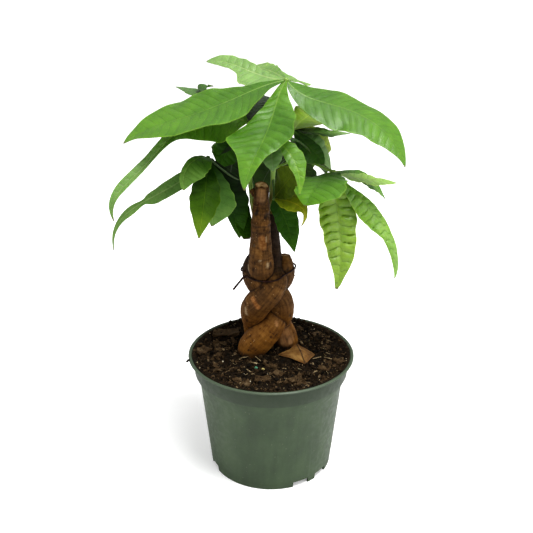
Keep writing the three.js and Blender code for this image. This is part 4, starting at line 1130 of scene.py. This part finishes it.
leaves = {
    "leaf_top": {
        "tone": 0.6, "puff": 0.8,
        "petiole": [(3, 13, 318), (7, 12, 338)], "hub": (11.7, 5, 356.7),
        "leaflets": [
            newLeaflet([(-21.6, -3, 346.7), (-52, -11, 335.4), (-87, -18, 324.9), (-118.5, -24, 310.8)],
                [(0, 1, 1), (0.1, 8, 5), (0.22, 21, 13), (0.38, 31, 22), (0.52, 32, 28), (0.68, 25, 28),
                 (0.82, 16, 18.5), (0.93, 6, 8.5), (1, 0.5, 0.5)], roll=(-20, -14), puff=0.55),
            newLeaflet([(2.9, -20, 339.9), (-3.8, -44, 324.1), (-12.9, -62, 308.1), (-20.8, -76, 286.7)],
                [(0, 1, 1), (0.17, 9, 7), (0.33, 18, 12), (0.43, 21, 19), (0.55, 22, 29),
                 (0.62, 16, 31), (0.7, 10, 23), (0.8, 7, 13), (0.92, 3.5, 6), (1, 0.5, 0.5)],
                roll=(0, 4), tone=(0.78, 0.54, 0.66), puff=1.0),
            newLeaflet([(37.8, -5, 341.4), (66.5, -15, 333.9), (91.9, -28, 318.1), (104.8, -40, 295.6)],
                [(0, 1, 1), (0.1, 13, 8), (0.25, 22, 19), (0.42, 22.5, 24), (0.58, 22.5, 22),
                 (0.72, 18.5, 16), (0.84, 12, 9), (0.94, 4.5, 3.5), (1, 0.5, 0.5)], roll=(26, 14),
                fold=-0.1, puff=0.7, slant=0.42, wander=0.3),
            newLeaflet([(-11.3, 22, 358.9), (-33.7, 42, 364.7), (-56.6, 58, 365.4)],
                [(0, 1, 1), (0.12, 9, 3), (0.3, 16, 6), (0.44, 15, 8), (0.54, 7.5, 9), (0.7, 5.5, 9.5),
                 (0.84, 4.5, 7.5), (0.95, 2.6, 3.4), (1, 0.5, 0.5)], roll=(-30, -36),
                tone=(0.76, 0.68, 0.6), pale=0.85),
            newLeaflet([(-2.5, 45, 359.4), (-18.4, 84, 357.6)],
                [(0, 1, 1), (0.2, 6, 4), (0.4, 11, 7), (0.6, 13, 9.5), (0.8, 12, 8.5), (0.93, 7, 5),
                 (1, 1, 1)], roll=(-26, -20), tone=0.7, pale=0.5),
            newLeaflet([(19.5, 42, 352.6), (31.8, 80, 342)], 26, roll=(26, 20), tone=0.76, pale=0.4),
        ],
    },
    "leaf_left_high": {
        "tone": 0.42, "puff": 0.5,
        "petiole": [(-18, 16, 300), (-17, 17, 310)], "hub": (-19.8, 15, 320.6),
        "leaflets": [
            newLeaflet([(-50.1, 8, 325.3), (-77.7, -6, 315.9), (-98.4, -20, 296.7), (-119, -32, 277.4),
                (-127.6, -40, 251)],
                [(0, 1, 1), (0.08, 14, 15), (0.16, 24, 19), (0.25, 22, 15), (0.34, 14, 11),
                 (0.42, 6, 7), (0.48, 3.2, 5), (0.6, 2.6, 5), (0.8, 3.6, 4.6), (0.92, 2.6, 2.8),
                 (1, 0.4, 0.4)], roll=(-48, -48, -40, -30), fold=(0.1, 0.1, 0.5, 0.6),
                tone=(0.84, 0.72, 0.55, 0.6), pale=(0, 0, 0.7, 0.5)),
            newLeaflet([(-58.6, 55, 335.2), (-88.7, 92, 338.8)], 18, pale=0.4),
            newLeaflet([(-39.2, 36, 328.6), (-59.9, 62, 338.6), (-52.4, 78, 341.4)],
                [(0, 1, 1), (0.3, 4, 4), (0.6, 5.5, 5.5), (0.8, 4.5, 4.5), (0.93, 1.5, 1.5),
                 (1, 0.3, 0.3)], roll=(0, 30), tone=0.3),
            newLeaflet([(-13.3, 38, 329.3), (-7.4, 72, 334.3)], 30, tone=0.12),
        ],
    },
    "leaf_left_low": {
        "tone": 0.16, "puff": 0.6,
        "petiole": [(-16.5, 18.5, 268), (-29.7, 14, 271.5)], "hub": (-53.6, 5, 292.2),
        "leaflets": [
            newLeaflet([(-62, -5, 293.7), (-70.5, -14, 286.6), (-72.2, -20, 270.9)],
                [(0, 1, 1), (0.12, 8, 3), (0.3, 16, 4), (0.5, 18, 4), (0.7, 16, 3.5), (0.85, 11, 3),
                 (0.95, 5, 2), (1, 0.5, 0.5)], roll=(-10, -20, -40), tone=(0.56, 0.62), pale=(0, 0.5)),
            newLeaflet([(-75.7, -4, 274.9), (-101, -12, 262.1), (-124.5, -18, 246.9), (-132.9, -24, 219.6)],
                [(0, 1, 1), (0.1, 3, 3), (0.25, 7, 7), (0.37, 7, 6.5), (0.46, 7.5, 5.5), (0.51, 6, 4.5),
                 (0.56, 2.6, 2.4), (0.63, 4, 3.4), (0.7, 4.4, 3.6), (0.78, 3.4, 2.8), (0.86, 2.4, 2),
                 (0.94, 1.3, 1.2), (1, 0.4, 0.4)], roll=(-50, -44, -20), tone=0.56, pale=(0.8, 0.8, 0.6),
                puff=0.4),
            newLeaflet([(-55.5, -14, 265.3), (-61.6, -17, 228)],
                [(0, 1, 1), (0.1, 3, 3), (0.25, 8, 9), (0.4, 13, 12.5), (0.55, 14, 13), (0.7, 11, 11.5),
                 (0.85, 5.5, 7), (0.95, 2, 2.6), (1, 0.5, 0.5)], heading=-110, tone=(0.2, 0.36, 0.64),
                yellow=(0, 0.1, 0.16), puff=0.3),
            newLeaflet([(-49.5, -3, 266.5), (-51.4, -1, 233.7)],
                [(0, 1, 1), (0.2, 6, 4), (0.4, 13, 6), (0.6, 18, 7), (0.75, 20, 6.5), (0.86, 15, 5),
                 (0.94, 7, 3), (1, 1, 1)], heading=-70, tone=(0.06, 0.4, 0.62), pale=(0, 0.4, 0.6),
                puff=0.3),
            newLeaflet([(-37.8, 14, 256.3), (-28.4, 16, 216.7)],
                [(0, 1, 1), (0.2, 8, 4), (0.4, 16, 6), (0.6, 16, 7.5), (0.75, 12, 6), (0.88, 7, 4),
                 (1, 0.5, 0.5)], heading=-80, tone=(0, 0.04, 0.4)),
            newLeaflet([(-60.2, 30, 279), (-68.2, 42, 254.7)], 20, tone=0.1),
            newLeaflet([(-31.8, 21, 253.9), (-22, 15, 216)],
                [(0, 1, 1), (0.2, 6, 6), (0.5, 8, 9), (0.75, 8, 9), (0.9, 7, 8), (1, 3, 3)], heading=-60,
                tone=(0.1, 0.2, 0.4)),
        ],
    },
    "leaf_right_low": {
        "tone": 0.74, "puff": 2.3,
        "petiole": [(1.2, 16.5, 280), (24, 14, 288)], "hub": (52.7, 0, 281.3),
        "leaflets": [
            newLeaflet([(79.1, 6, 273.8), (107.1, 8, 269.6)],
                [(0, 1, 1), (0.1, 5, 5), (0.25, 8.5, 11), (0.45, 9, 13), (0.62, 9, 12), (0.78, 7, 9),
                 (0.9, 4, 5), (1, 0.5, 0.5)], roll=(8, 8), puff=0.4, pale=0.4, tone=0.96),
            newLeaflet([(82.5, 18, 269.6), (102, 30, 249)], 18, roll=(30, 40), puff=0.4, tone=0.6),
            newLeaflet([(71.4, -10, 263.8), (88.6, -22, 247.7), (101, -32, 223.9), (102.5, -40, 200.7)],
                [(0, 1, 1), (0.1, 4, 3), (0.2, 6.5, 6.5), (0.3, 7.5, 10), (0.4, 7.5, 11.5),
                 (0.5, 7, 11), (0.6, 6, 8), (0.67, 5, 5), (0.78, 4, 3.6), (0.9, 2.4, 2.2),
                 (1, 0.4, 0.4)], roll=(14, 30), fold=-0.3, tone=(0.84, 0.84, 0.7), pale=(0.1, 0, 0.4),
                puff=1.8, slant=0.2, crisp=0.55, wander=0.3),
            newLeaflet([(56.1, -12, 250.7), (58.9, -24, 220.1), (55.2, -30, 186.9)],
                [(0, 1, 1), (0.1, 4, 5), (0.2, 11, 12), (0.33, 15, 17), (0.49, 13.5, 15.5),
                 (0.67, 11.5, 12.7), (0.8, 8.4, 8.5), (0.88, 4.8, 5), (0.96, 2.6, 2.6), (1, 1, 1)],
                heading=-88, tone=(0.8, 0.8, 0.72), yellow=0.12, fold=0.24, slant=0.08, crisp=0.55,
                puff=2.9, wander=0.3),
            newLeaflet([(38.6, -24, 277.5), (26.6, -42, 264.3)],
                [(0, 1, 1), (0.2, 12, 11), (0.4, 23, 18), (0.6, 28, 19), (0.78, 25, 15), (0.92, 13, 7),
                 (1, 1, 1)], roll=(10, 10), heading=-112, puff=0.6, tone=(0.5, 0.66), pale=(0.4, 0)),
        ],
    },
    "leaf_right_high": {
        "tone": 0.5, "puff": 0.6,
        "petiole": [(2.2, 14.5, 296), (9, 16, 306)], "hub": (18.2, 15, 314),
        "leaflets": [
            newLeaflet([(41.5, 20, 310.7), (68, 28, 308.3)],
                20, roll=(14, 4), tone=(0.1, 0.4, 0.5), pale=(0, 0.7, 1)),
            newLeaflet([(38, 46, 322), (56, 80, 310)],
                [(0, 1, 1), (0.2, 8, 14), (0.4, 16, 24), (0.6, 18, 26), (0.8, 12, 16), (0.92, 6, 6),
                 (1, 1, 1)], roll=(14, 10), tone=0.72, yellow=0.2),
            newLeaflet([(41.6, 31, 301.4), (53, 38, 291.6)], 26, roll=(48, 48), tone=0.7, yellow=0.3),
            newLeaflet([(33, 2, 301), (43.6, -9, 290)],
                [(0, 0.6, 0.6), (0.2, 3.5, 6), (0.35, 5.5, 10.5), (0.5, 6.5, 12.5), (0.62, 6.5, 12.3),
                 (0.75, 5.5, 10), (0.86, 3.8, 6.3), (0.94, 1.8, 2.8), (1, 0.4, 0.4)], roll=(46, 36),
                tone=0.34),
            newLeaflet([(38, 17, 300), (52, 22, 278)], 22, roll=(44, 40), tone=0.5, pale=0.9),
        ],
    },
    "leaf_centre": {
        "tone": 0.3, "puff": 0.5,
        "petiole": [(2.1, 14.8, 292), (0, -6, 308)], "hub": (1.6, -25, 313.5),
        "leaflets": [
            newLeaflet([(11.1, -38, 309.5), (19.4, -50, 297.3), (21.2, -57, 277.7)],
                [(0, 1, 1), (0.15, 5, 3), (0.3, 7.5, 4.5), (0.45, 8.5, 5.5), (0.6, 8.5, 5.6),
                 (0.75, 5.5, 3.6), (0.9, 2.2, 1.8), (1, 0.4, 0.4)], roll=(20, 30), tone=0.72),
            newLeaflet([(0, -42, 306), (0.9, -48, 293.9)], 16, tone=0.4, pale=1),
            newLeaflet([(-8.5, -40, 310), (-20, -46, 296)], 22),
            newLeaflet([(18, -16, 312), (32, -14, 301)], 20, tone=0.2),
            newLeaflet([(-16, -14, 314), (-30, -6, 303)], 20),
        ],
    },
    "leaf_low": {
        "tone": 0.2, "puff": 0.4,
        "petiole": [(1.4, 17, 272), (2.2, 11, 263)], "hub": (2.5, 6, 256.4),
        "leaflets": [
            newLeaflet([(11.5, -1, 271), (21.5, -9, 285.5)], 30, roll=(60, 80), tone=0.26, yellow=0.5),
            newLeaflet([(13.3, -2, 256.5), (23.3, -8, 253.9), (28.3, -12, 248.1), (25.5, -13, 237.7)],
                [(0, 1, 1), (0.12, 6, 5), (0.26, 11, 10), (0.42, 11, 10), (0.56, 7, 6), (0.7, 3, 2.4),
                 (0.85, 1.6, 1.4), (1, 0.3, 0.3)], roll=(20, 30), tone=0.5, yellow=0.85),
            newLeaflet([(12.8, 6, 235), (20.5, 5, 207.5)],
                [(0, 2, 2), (0.08, 4, 6), (0.15, 6, 8), (0.3, 11, 8), (0.45, 12, 9), (0.6, 10.5, 9),
                 (0.75, 7.6, 6.6), (0.88, 4.2, 3.4), (0.95, 2, 1.6), (1, 0.4, 0.4)], heading=-75,
                tone=0.34),
        ],
    },
    "leaf_back_left": {
        "tone": 0.1, "puff": 0.7,
        "petiole": [(-17.6, 17.4, 280), (-22, 34, 292)], "hub": (-30, 52, 300),
        "leaflets": [
            newLeaflet([(-62, 66, 308), (-88, 92, 300)], 30, tone=0.4),
            newLeaflet([(-40.4, 80, 285.8), (-45.5, 98, 266.1)], 30, tone=0.4),
            newLeaflet([(-20, 82, 292), (-12, 97, 252)], 32),
            newLeaflet([(-12, 51, 312), (9, 52, 318)], 26),
            newLeaflet([(-39.3, 58, 287), (-48.1, 60, 269.7)], 26, heading=-100, tone=0.3),
            newLeaflet([(-37.2, 64, 266.8), (-42.8, 70, 233.1)], 34, heading=90, tone=0),
        ],
    },
    "leaf_back_right": {
        "tone": 0.12, "puff": 0.7,
        "petiole": [(1.2, 16.6, 278), (12, 34, 284)], "hub": (24, 50, 288),
        "leaflets": [
            newLeaflet([(39.3, 58, 279.6), (51.7, 70, 261.4)], 28, tone=0.4),
            newLeaflet([(34, 80, 288), (40, 100, 258)], 32, tone=0.4),
            newLeaflet([(10, 78, 284), (4, 94, 250)], 30),
            newLeaflet([(30, 62, 262), (32, 68, 230)], 26, heading=70),
            newLeaflet([(1, 58, 272), (-13, 62, 238)], 40, heading=90, tone=0.08),
        ],
    },
}


def along(points, t):  # the curve through points that are evenly spaced along it
    last = len(points) - 1
    place = Vector()
    for i, point in enumerate(points):
        weight = 1.0
        for k in range(last + 1):
            if k != i:
                weight *= (t * last - k) / (i - k)
        place += point * weight
    return place


def between(values, t):  # one value, or several that are spread evenly over the leaflet
    if not isinstance(values, (tuple, list)):
        return values
    place = t * (len(values) - 1)
    i = min(int(place), len(values) - 2)
    return values[i] + (values[i + 1] - values[i]) * (place - i)


def bladeHalves(table, t):  # the half-widths on both sides, rounded through the table's rows
    i = max(next((k for k, row in enumerate(table) if row[0] >= t), len(table) - 1), 1)
    start, end = table[i - 1], table[i]
    span = end[0] - start[0]
    halves = []
    for side in (1, 2):
        def slope(k):
            before, after = table[max(k - 1, 0)], table[min(k + 1, len(table) - 1)]
            return (after[side] - before[side]) / (after[0] - before[0]) * span
        halves.append(eased(start[side], slope(i - 1), end[side], slope(i), (t - start[0]) / span))
    return halves


def leafletStations(hub, leaflet, count):
    # for each row: share along, middle, side, normal and both half-widths, in metres
    points = [Vector(place) * mm for place in (hub, *leaflet["path"])]
    reach = points[-1] - points[0]
    ahead = radians(leaflet["heading"]) if "heading" in leaflet else atan2(reach.y, reach.x)
    level = Vector((sin(ahead), -cos(ahead), 0))
    stations = []
    for i in range(count + 1):
        t = i / count
        tangent = (along(points, t + 0.01) - along(points, t - 0.01)).normalized()
        side = (level - tangent * level.dot(tangent)).normalized()
        side.rotate(Matrix.Rotation(radians(between(leaflet["roll"], t)), 3, tangent))
        halves = [half * mm for half in bladeHalves(leaflet["widths"], t)]
        stations.append((t, along(points, t), side, side.cross(tangent), halves))
    return stations


def addBlade(bm, layers, leaf, leaflet, index):
    def own(key):
        return leaflet.get(key, blade.get(key))
    coarse = leafletStations(leaf["hub"], leaflet, blade["fewestRows"])
    length = sum((b[1] - a[1]).length for a, b in zip(coarse, coarse[1:]))
    width = max(sum(station[4]) for station in coarse)
    rows = max(blade["fewestRows"], round(length / mm / blade["along"]))
    columns = 2 * max(4, round(width / mm / blade["across"] / 2))
    stations = leafletStations(leaf["hub"], leaflet, rows)
    puff = leaflet.get("puff", leaf["puff"]) * mm
    waveHeight = blade["wave"] * width
    veinGap = blade["veinGap"] * mm * min(1, 0.55 + length / 0.2)
    seed = index * 1.7
    offset = Vector((index * 0.37 + leaf["seed"] * 1.13, 0, 0))
    share, flat, tint = layers
    grid = bmesh.ops.create_grid(bm, x_segments=columns, y_segments=rows, size=0.5)["verts"]
    for vert in grid:
        s, row = 2 * vert.co.x, round((vert.co.y + 0.5) * rows)
        t, middle, side, normal, halves = stations[row]
        half = halves[1] if s > 0 else halves[0]
        away = abs(s)
        ripple = noise.noise(Vector((t * 9, s, 0)) + offset * 7)
        middling = sin(pi * t)
        wide = half * (1 + 0.035 * away * sin(t * 41 + seed * 3) * middling + 0.03 * away * ripple)
        x, y = wide * s, t * length
        count = (y - own("slant") * abs(x) - blade["veinHook"] * x * x / mm) / veinGap
        count += 0.5 * smoothStep(s, -0.06, 0.06)
        count += own("wander") * noise.noise(Vector((t * 6, 1.6 * s, 3)) + offset * 5)
        quilt = abs(sin(pi * count)) ** own("crisp")
        uneven = 1 + blade["uneven"] * noise.noise(Vector((t * 7, 2 * s, 0)) + offset * 3)
        spread = smoothStep(away, 0, 0.3) * (1 - 0.75 * smoothStep(away, 0.72, 1))
        spread *= sin(pi * min(t * 1.05, 1)) * min(1, half / (5 * mm))
        wave = waveHeight * s * s * sin(t * 16 + seed + s) * middling
        wave += 0.3 * waveHeight * away**3 * sin(t * 44 + seed * 2.3 + 2 * s) * middling
        wave += 0.25 * waveHeight * away * ripple
        wave *= min(1, half / (8 * mm))
        fold = between(own("fold"), t)
        rise = half * (fold * (sqrt(s * s + 0.006) - 0.077) - 0.06 * s * s) + wave
        rise += puff * uneven * (quilt - 0.5) * spread + blade["thickness"] / 2 * mm
        vert.co = middle + side * x + normal * rise
        vert[share] = Vector((s, t, count))
        vert[flat] = Vector((x, y, leaf["seed"] * 0.31 + index * 0.057))
        vert[tint] = Vector([between(leaflet.get(key, leaf.get(key, 0)), t)
                             for key in ("tone", "yellow", "pale")])


def addStalks(bm, leaf):  # petiole, hub and midribs, which stand a little below the blade
    petiole = [(*place, stalk["radius"]) for place in (*leaf["petiole"], leaf["hub"])]
    path = smoothPath(petiole, stalk["step"])
    total = path[-1][2]
    shaped = []
    for place, radius, distance in path:
        foot = stalk["footSwell"] * exp(-(distance / (4 * mm)) ** 2)
        top = stalk["hubSwell"] * exp(-((total - distance) / (5 * mm)) ** 2)
        shaped.append((place, radius * (0.92 + foot + top), distance))
    verts, _ = addRod(bm, rounded(shaped), stalk["sides"], nominal=1.2 * mm)
    # the stalks take the leaf's tone, and with it the painted shade of the leaves inside the canopy
    tone = leaf["tone"]
    tintAll(bm, verts, 0.05 + 0.8 * tone, 0.0)
    knob = bmesh.ops.create_icosphere(bm, subdivisions=3, radius=stalk["hubRadius"] * mm,
                                      matrix=moved(leaf["hub"]))["verts"]
    for vert in knob:
        vert.co += vert.normal * 0.25 * mm * noise.noise(vert.co / mm)
    tintAll(bm, knob, 0.1 + 0.85 * tone, 0.05)
    for leaflet in leaf["leaflets"]:
        stations = leafletStations(leaf["hub"], leaflet, stalk["ribStations"])
        width = max(sum(station[4]) for station in stations) / mm
        ribs = []
        distance = 0
        for i, (t, middle, _, normal, _) in enumerate(stations[:-1]):
            if i:
                distance += (middle - stations[i - 1][1]).length
            radius = mm * (0.55 + width / 90) * (1 - 0.85 * t ** 0.7)
            ribs.append((middle - normal * radius * 0.55, radius, distance))
        verts, _ = addRod(bm, ribs, stalk["ribSides"], nominal=1.2 * mm)
        ribTone = between(leaflet.get("tone", tone), 0.5)
        tintAll(bm, verts, 0.05 + 0.8 * ribTone, 0.4 * between(leaflet.get("yellow", 0), 0.5))


def veinsFor(tree):
    share, flat = attribute(tree, "share"), attribute(tree, "flat")
    veins = useGroup(tree, bladeVeins, Share=share, Flat=flat)
    patches = mottled(tree, flat, 70.0)
    return share, veins, patches, split(attribute(tree, "tint"))


def newBladeSkin(name, gloss, glow):
    return newMaterial(name, Specular_IOR_Level=gloss, Subsurface_Weight=glow,
                       Subsurface_Radius=(0.5, 1.0, 0.15), Subsurface_Scale=0.002)


def makeLeafUpper(name, gloss, glow, creaseShade=0.46, veining=1.0):
    material, tree, shader = newBladeSkin(name, gloss, glow)
    share, veins, patches, tint = veinsFor(tree)
    across, t, count = split(share)
    broad = times(minus(patches["Broad"], 0.5), 0.34)
    fine = times(minus(patches["Fine"], 0.5), 0.16)
    fresh = ease(t, 0.1, 0.95, -0.06, 0.08)
    tone = plus(plus(tint[0], fresh), plus(broad, fine), clamp=True)
    green, aged, paintedSheen = [ramp(tone, stops) for stops in (
        [(0.0, 8, 26, 1), (0.25, 28, 62, 4), (0.5, 58, 100, 14), (0.72, 84, 128, 24), (1.0, 130, 168, 52)],
        [(0.2, 66, 74, 8), (0.5, 122, 132, 22), (0.8, 190, 184, 66)],
        [(0.1, 52, 82, 38), (0.5, 98, 132, 72), (0.9, 152, 182, 116)],
    )]
    swell = calc("ABSOLUTE", calc("SINE", times(count, pi)))
    colour = coated(
        # pale mixes in a whitish green: painted sheen of reflected light
        green, (tint[1], aged), (times(tint[2], 0.85), paintedSheen),
        # painted shade in the valleys along the side veins, between the puffs
        (ease(swell, 0.0, 0.4, creaseShade, 0.0), (0.5, 0.58, 0.4)),
        (times(veins["Net"], 0.3), (1.25, 1.16, 1.3)),
        (times(veins["Side Veins"], 0.45 * veining), (1.5, 1.3, 1.6)),
        (times(veins["Margin"], 0.85), (1.8, 1.45, 1.7)),
        # painted shade: a darker band along the midrib, as in its groove
        (ease(calc("ABSOLUTE", across), 0.02, 0.13, 0.42, 0.0), (0.62, 0.7, 0.5)),
        (times(veins["Midrib"], 0.8 * veining), (2.1, 1.6, 2.4)),
        (ease(t, 0.975, 1.0, 0.0, 0.85), srgb(92, 74, 40)),
    )
    relief = minus(times(patches["Fine"], 0.3), times(veins["Net"], 0.35))
    relief = minus(relief, times(veins["Side Veins"], 0.7))
    dress(shader, colour, relief, 0.6, 0.0003, ease(patches["Fine"], 0.3, 0.7, 0.34, 0.5))
    return material


def makeLeafUnder():
    material, tree, shader = newBladeSkin("leaf underside", 0.25, 0.1)
    share, veins, patches, tint = veinsFor(tree)
    tone = plus(tint[0], times(minus(patches["Broad"], 0.5), 0.3), clamp=True)
    green, aged, paintedSheen = [ramp(tone, stops) for stops in (
        [(0.0, 22, 42, 5), (0.4, 62, 92, 22), (0.75, 108, 142, 50), (1.0, 146, 176, 80)],
        [(0.2, 72, 76, 8), (0.5, 128, 130, 26), (0.8, 188, 178, 74)],
        [(0.1, 58, 84, 38), (0.5, 104, 134, 74), (0.9, 154, 180, 114)],
    )]
    colour = coated(
        # pale mixes in a whitish green: painted sheen of reflected light
        green, (tint[1], aged), (times(tint[2], 0.7), paintedSheen),
        (times(veins["Net"], 0.4), (1.3, 1.2, 1.4)),
        (times(veins["Side Veins"], 0.7), (1.5, 1.3, 1.7)),
        (times(veins["Midrib"], 0.8), (1.9, 1.5, 2.1)),
        (ease(split(share)[1], 0.975, 1.0, 0.0, 0.85), srgb(92, 74, 40)),
    )
    relief = plus(times(veins["Net"], 0.4), times(veins["Side Veins"], 0.9))
    dress(shader, colour, relief, 0.6, 0.0003, ease(patches["Fine"], 0.3, 0.7, 0.55, 0.72))
    return material


def solidifyBlades(bm):  # the new faces below and round the edge are the underside
    bm.normal_update()
    upper = set(bm.faces)
    bmesh.ops.solidify(bm, geom=list(upper), thickness=blade["thickness"] * mm)
    for face in bm.faces:
        if face not in upper:
            face.material_index = 1


leafUpper = makeLeafUpper("leaf upper", 0.5, 0.1)
# a copy of the leaf skin with little gloss and no glow, for the leaves inside the canopy: painted shade
leafShaded = makeLeafUpper("leaf upper in the shade", 0.1, 0.0)
leafPuckered = makeLeafUpper("leaf upper puckered", 0.55, 0.1, 0.6, 0.2)
leafUnder = makeLeafUnder()
puckeredLeaves = ("leaf_right_low",)
shadedLeaves = ("leaf_left_low", "leaf_low", "leaf_back_left", "leaf_back_right")
for number, (name, leaf) in enumerate(leaves.items()):
    leaf["seed"] = number
    bm, *layers = startMesh("share", "flat", "tint")
    for index, leaflet in enumerate(leaf["leaflets"]):
        addBlade(bm, layers, leaf, leaflet, index)
    solidifyBlades(bm)
    upper = leafPuckered if name in puckeredLeaves else leafShaded if name in shadedLeaves else leafUpper
    addPiece(name + "_blades", bm, [upper, leafUnder], "leaf_old" if name == "leaf_low" else "leaf", name)
    bm = startMesh("straight", "tint")[0]
    addStalks(bm, leaf)
    addPiece(name + "_stalks", bm, [stalkSkin], "green_stem", name)
print("leaves done")


# a dry leaf that lies folded on the soil beside the trunk's foot
def makeDryLeafSkin():
    material, tree, shader = newMaterial("dry leaf", Roughness=0.7, Specular_IOR_Level=0.3)
    share, veins, patches, _ = veinsFor(tree)
    fold = calc("ABSOLUTE", minus(split(share)[1], 0.5))
    colour = coated(
        ramp(patches["Broad"], [(0.3, 78, 52, 22), (0.5, 124, 88, 42), (0.7, 164, 128, 72)]),
        (ease(patches["Fine"], 0.56, 0.68, 0.0, 0.6), srgb(62, 38, 18)),
        (times(veins["Side Veins"], 0.5), srgb(120, 80, 36)),
        (times(veins["Margin"], 0.5), srgb(110, 72, 32)),
        # painted shade: a dark line along the fold
        (ease(fold, 0.006, 0.03, 0.85, 0.0), srgb(44, 26, 10)),
    )
    dress(shader, colour, plus(patches["Fine"], veins["Net"]), 0.6, 0.0003)
    return material


def makeFallenLeaf():
    leftTip, ridge, rightTip = [Vector(fallenLeaf[key]) for key in ("leftTip", "ridge", "rightTip")]
    run = Vector(fallenLeaf["ridgeRun"]) / 2
    bm, share, flat, tint = startMesh("share", "flat", "tint")
    grid = bmesh.ops.create_grid(bm, x_segments=fallenLeaf["columns"], y_segments=fallenLeaf["rows"],
                                 size=0.5)["verts"]
    for vert in grid:
        s, place = 2 * vert.co.x, 2 * (vert.co.y + 0.5)
        wide = between(fallenLeaf["widths"], place / 2)
        middle = leftTip.lerp(ridge, place) if place < 1 else ridge.lerp(rightTip, place - 1)
        where = middle + run * s * wide
        crinkle = noise.noise(Vector((where.x / 5, where.y / 5, 2)))
        where.z += 0.8 * sin(3 * s + 2 * place) * wide + 0.7 * crinkle * wide + 0.5 * abs(s) ** 3 * wide
        where.z += 0.25 * abs(sin(place * 9 + s * 2)) * wide
        vert.co = where * mm
        vert[share] = Vector((s, place / 2, place * 4.5 - abs(s)))
        vert[flat] = Vector((s * 14, place * 18, 3)) * mm
        vert[tint] = Vector((0.5, 1, 0))
    bm.normal_update()
    if sum(face.normal.z for face in bm.faces) < 0:
        bmesh.ops.reverse_faces(bm, faces=bm.faces[:])
    bmesh.ops.solidify(bm, geom=bm.faces[:], thickness=fallenLeaf["thickness"] * mm)
    addPiece("fallen_leaf_blade", bm, [makeDryLeafSkin()], "leaf_dry", "fallen_leaf")


makeFallenLeaf()
print("fallen leaf done")


# a wide pale floor and soft studio light, the key from the upper right
studio = {
    "floorRadius": 30,
    "floorSides": 96,
    "floorColour": (0.92, 0.92, 0.92, 1),
    "nearGlow": 0.24,  # the floor's own light beside the pot, and past the shade it throws
    "floorGlow": 0.5,
    "glowReach": (0.1, 0.34),
    "skyStrength": 0.5,
    "lights": [  # place, size, watts
        ((0.35, -0.35, 1.7), 0.9, 26),
        ((1.3, -0.6, 0.7), 0.7, 7),
        ((-1.3, -0.5, 0.6), 0.7, 4),
    ],
    "target": (0, 0, 0.22),
}


def makeStudio():
    bm = bmesh.new()
    bmesh.ops.create_circle(bm, cap_ends=True, segments=studio["floorSides"], radius=studio["floorRadius"])
    mesh = bpy.data.meshes.new("floor")
    bm.to_mesh(mesh)
    bm.free()
    material, tree, shader = newMaterial("floor", Base_Color=studio["floorColour"], Roughness=0.9,
                                         Emission_Color=(1, 1, 1, 1))
    away = addNode(tree, "VectorMath", {0: objectPlace(tree)}, operation="LENGTH").outputs["Value"]
    glow = ease(away, *studio["glowReach"], studio["nearGlow"], studio["floorGlow"])
    seen = addNode(tree, "LightPath").outputs["Is Camera Ray"]
    plug(shader.inputs["Emission Strength"], times(seen, glow))
    mesh.materials.append(material)
    floor = addObject("floor", mesh)
    world = bpy.data.worlds.new("studio")
    world.use_nodes = True
    tree = world.node_tree
    background = tree.nodes["Background"]
    background.inputs["Color"].default_value = (1, 1, 1, 1)
    seen = addNode(tree, "LightPath").outputs["Is Camera Ray"]  # white behind, softer on the plant
    plug(background.inputs["Strength"], ease(seen, 0.0, 1.0, studio["skyStrength"], 1.0))
    bpy.context.scene.world = world
    for i, (place, size, watts) in enumerate(studio["lights"]):
        data = bpy.data.lights.new("lamp" + str(i), "AREA")
        data.size, data.energy, data.shape = size, watts, "DISK"
        lamp = addObject("lamp" + str(i), data)
        lamp.location = place
        ahead = Vector(studio["target"]) - Vector(place)
        lamp.rotation_euler = ahead.to_track_quat("-Z", "Y").to_euler()
    bpy.context.scene.view_settings.view_transform = "Standard"
    bpy.context.scene.view_settings.look = "Medium High Contrast"


makeStudio()
print("studio done")
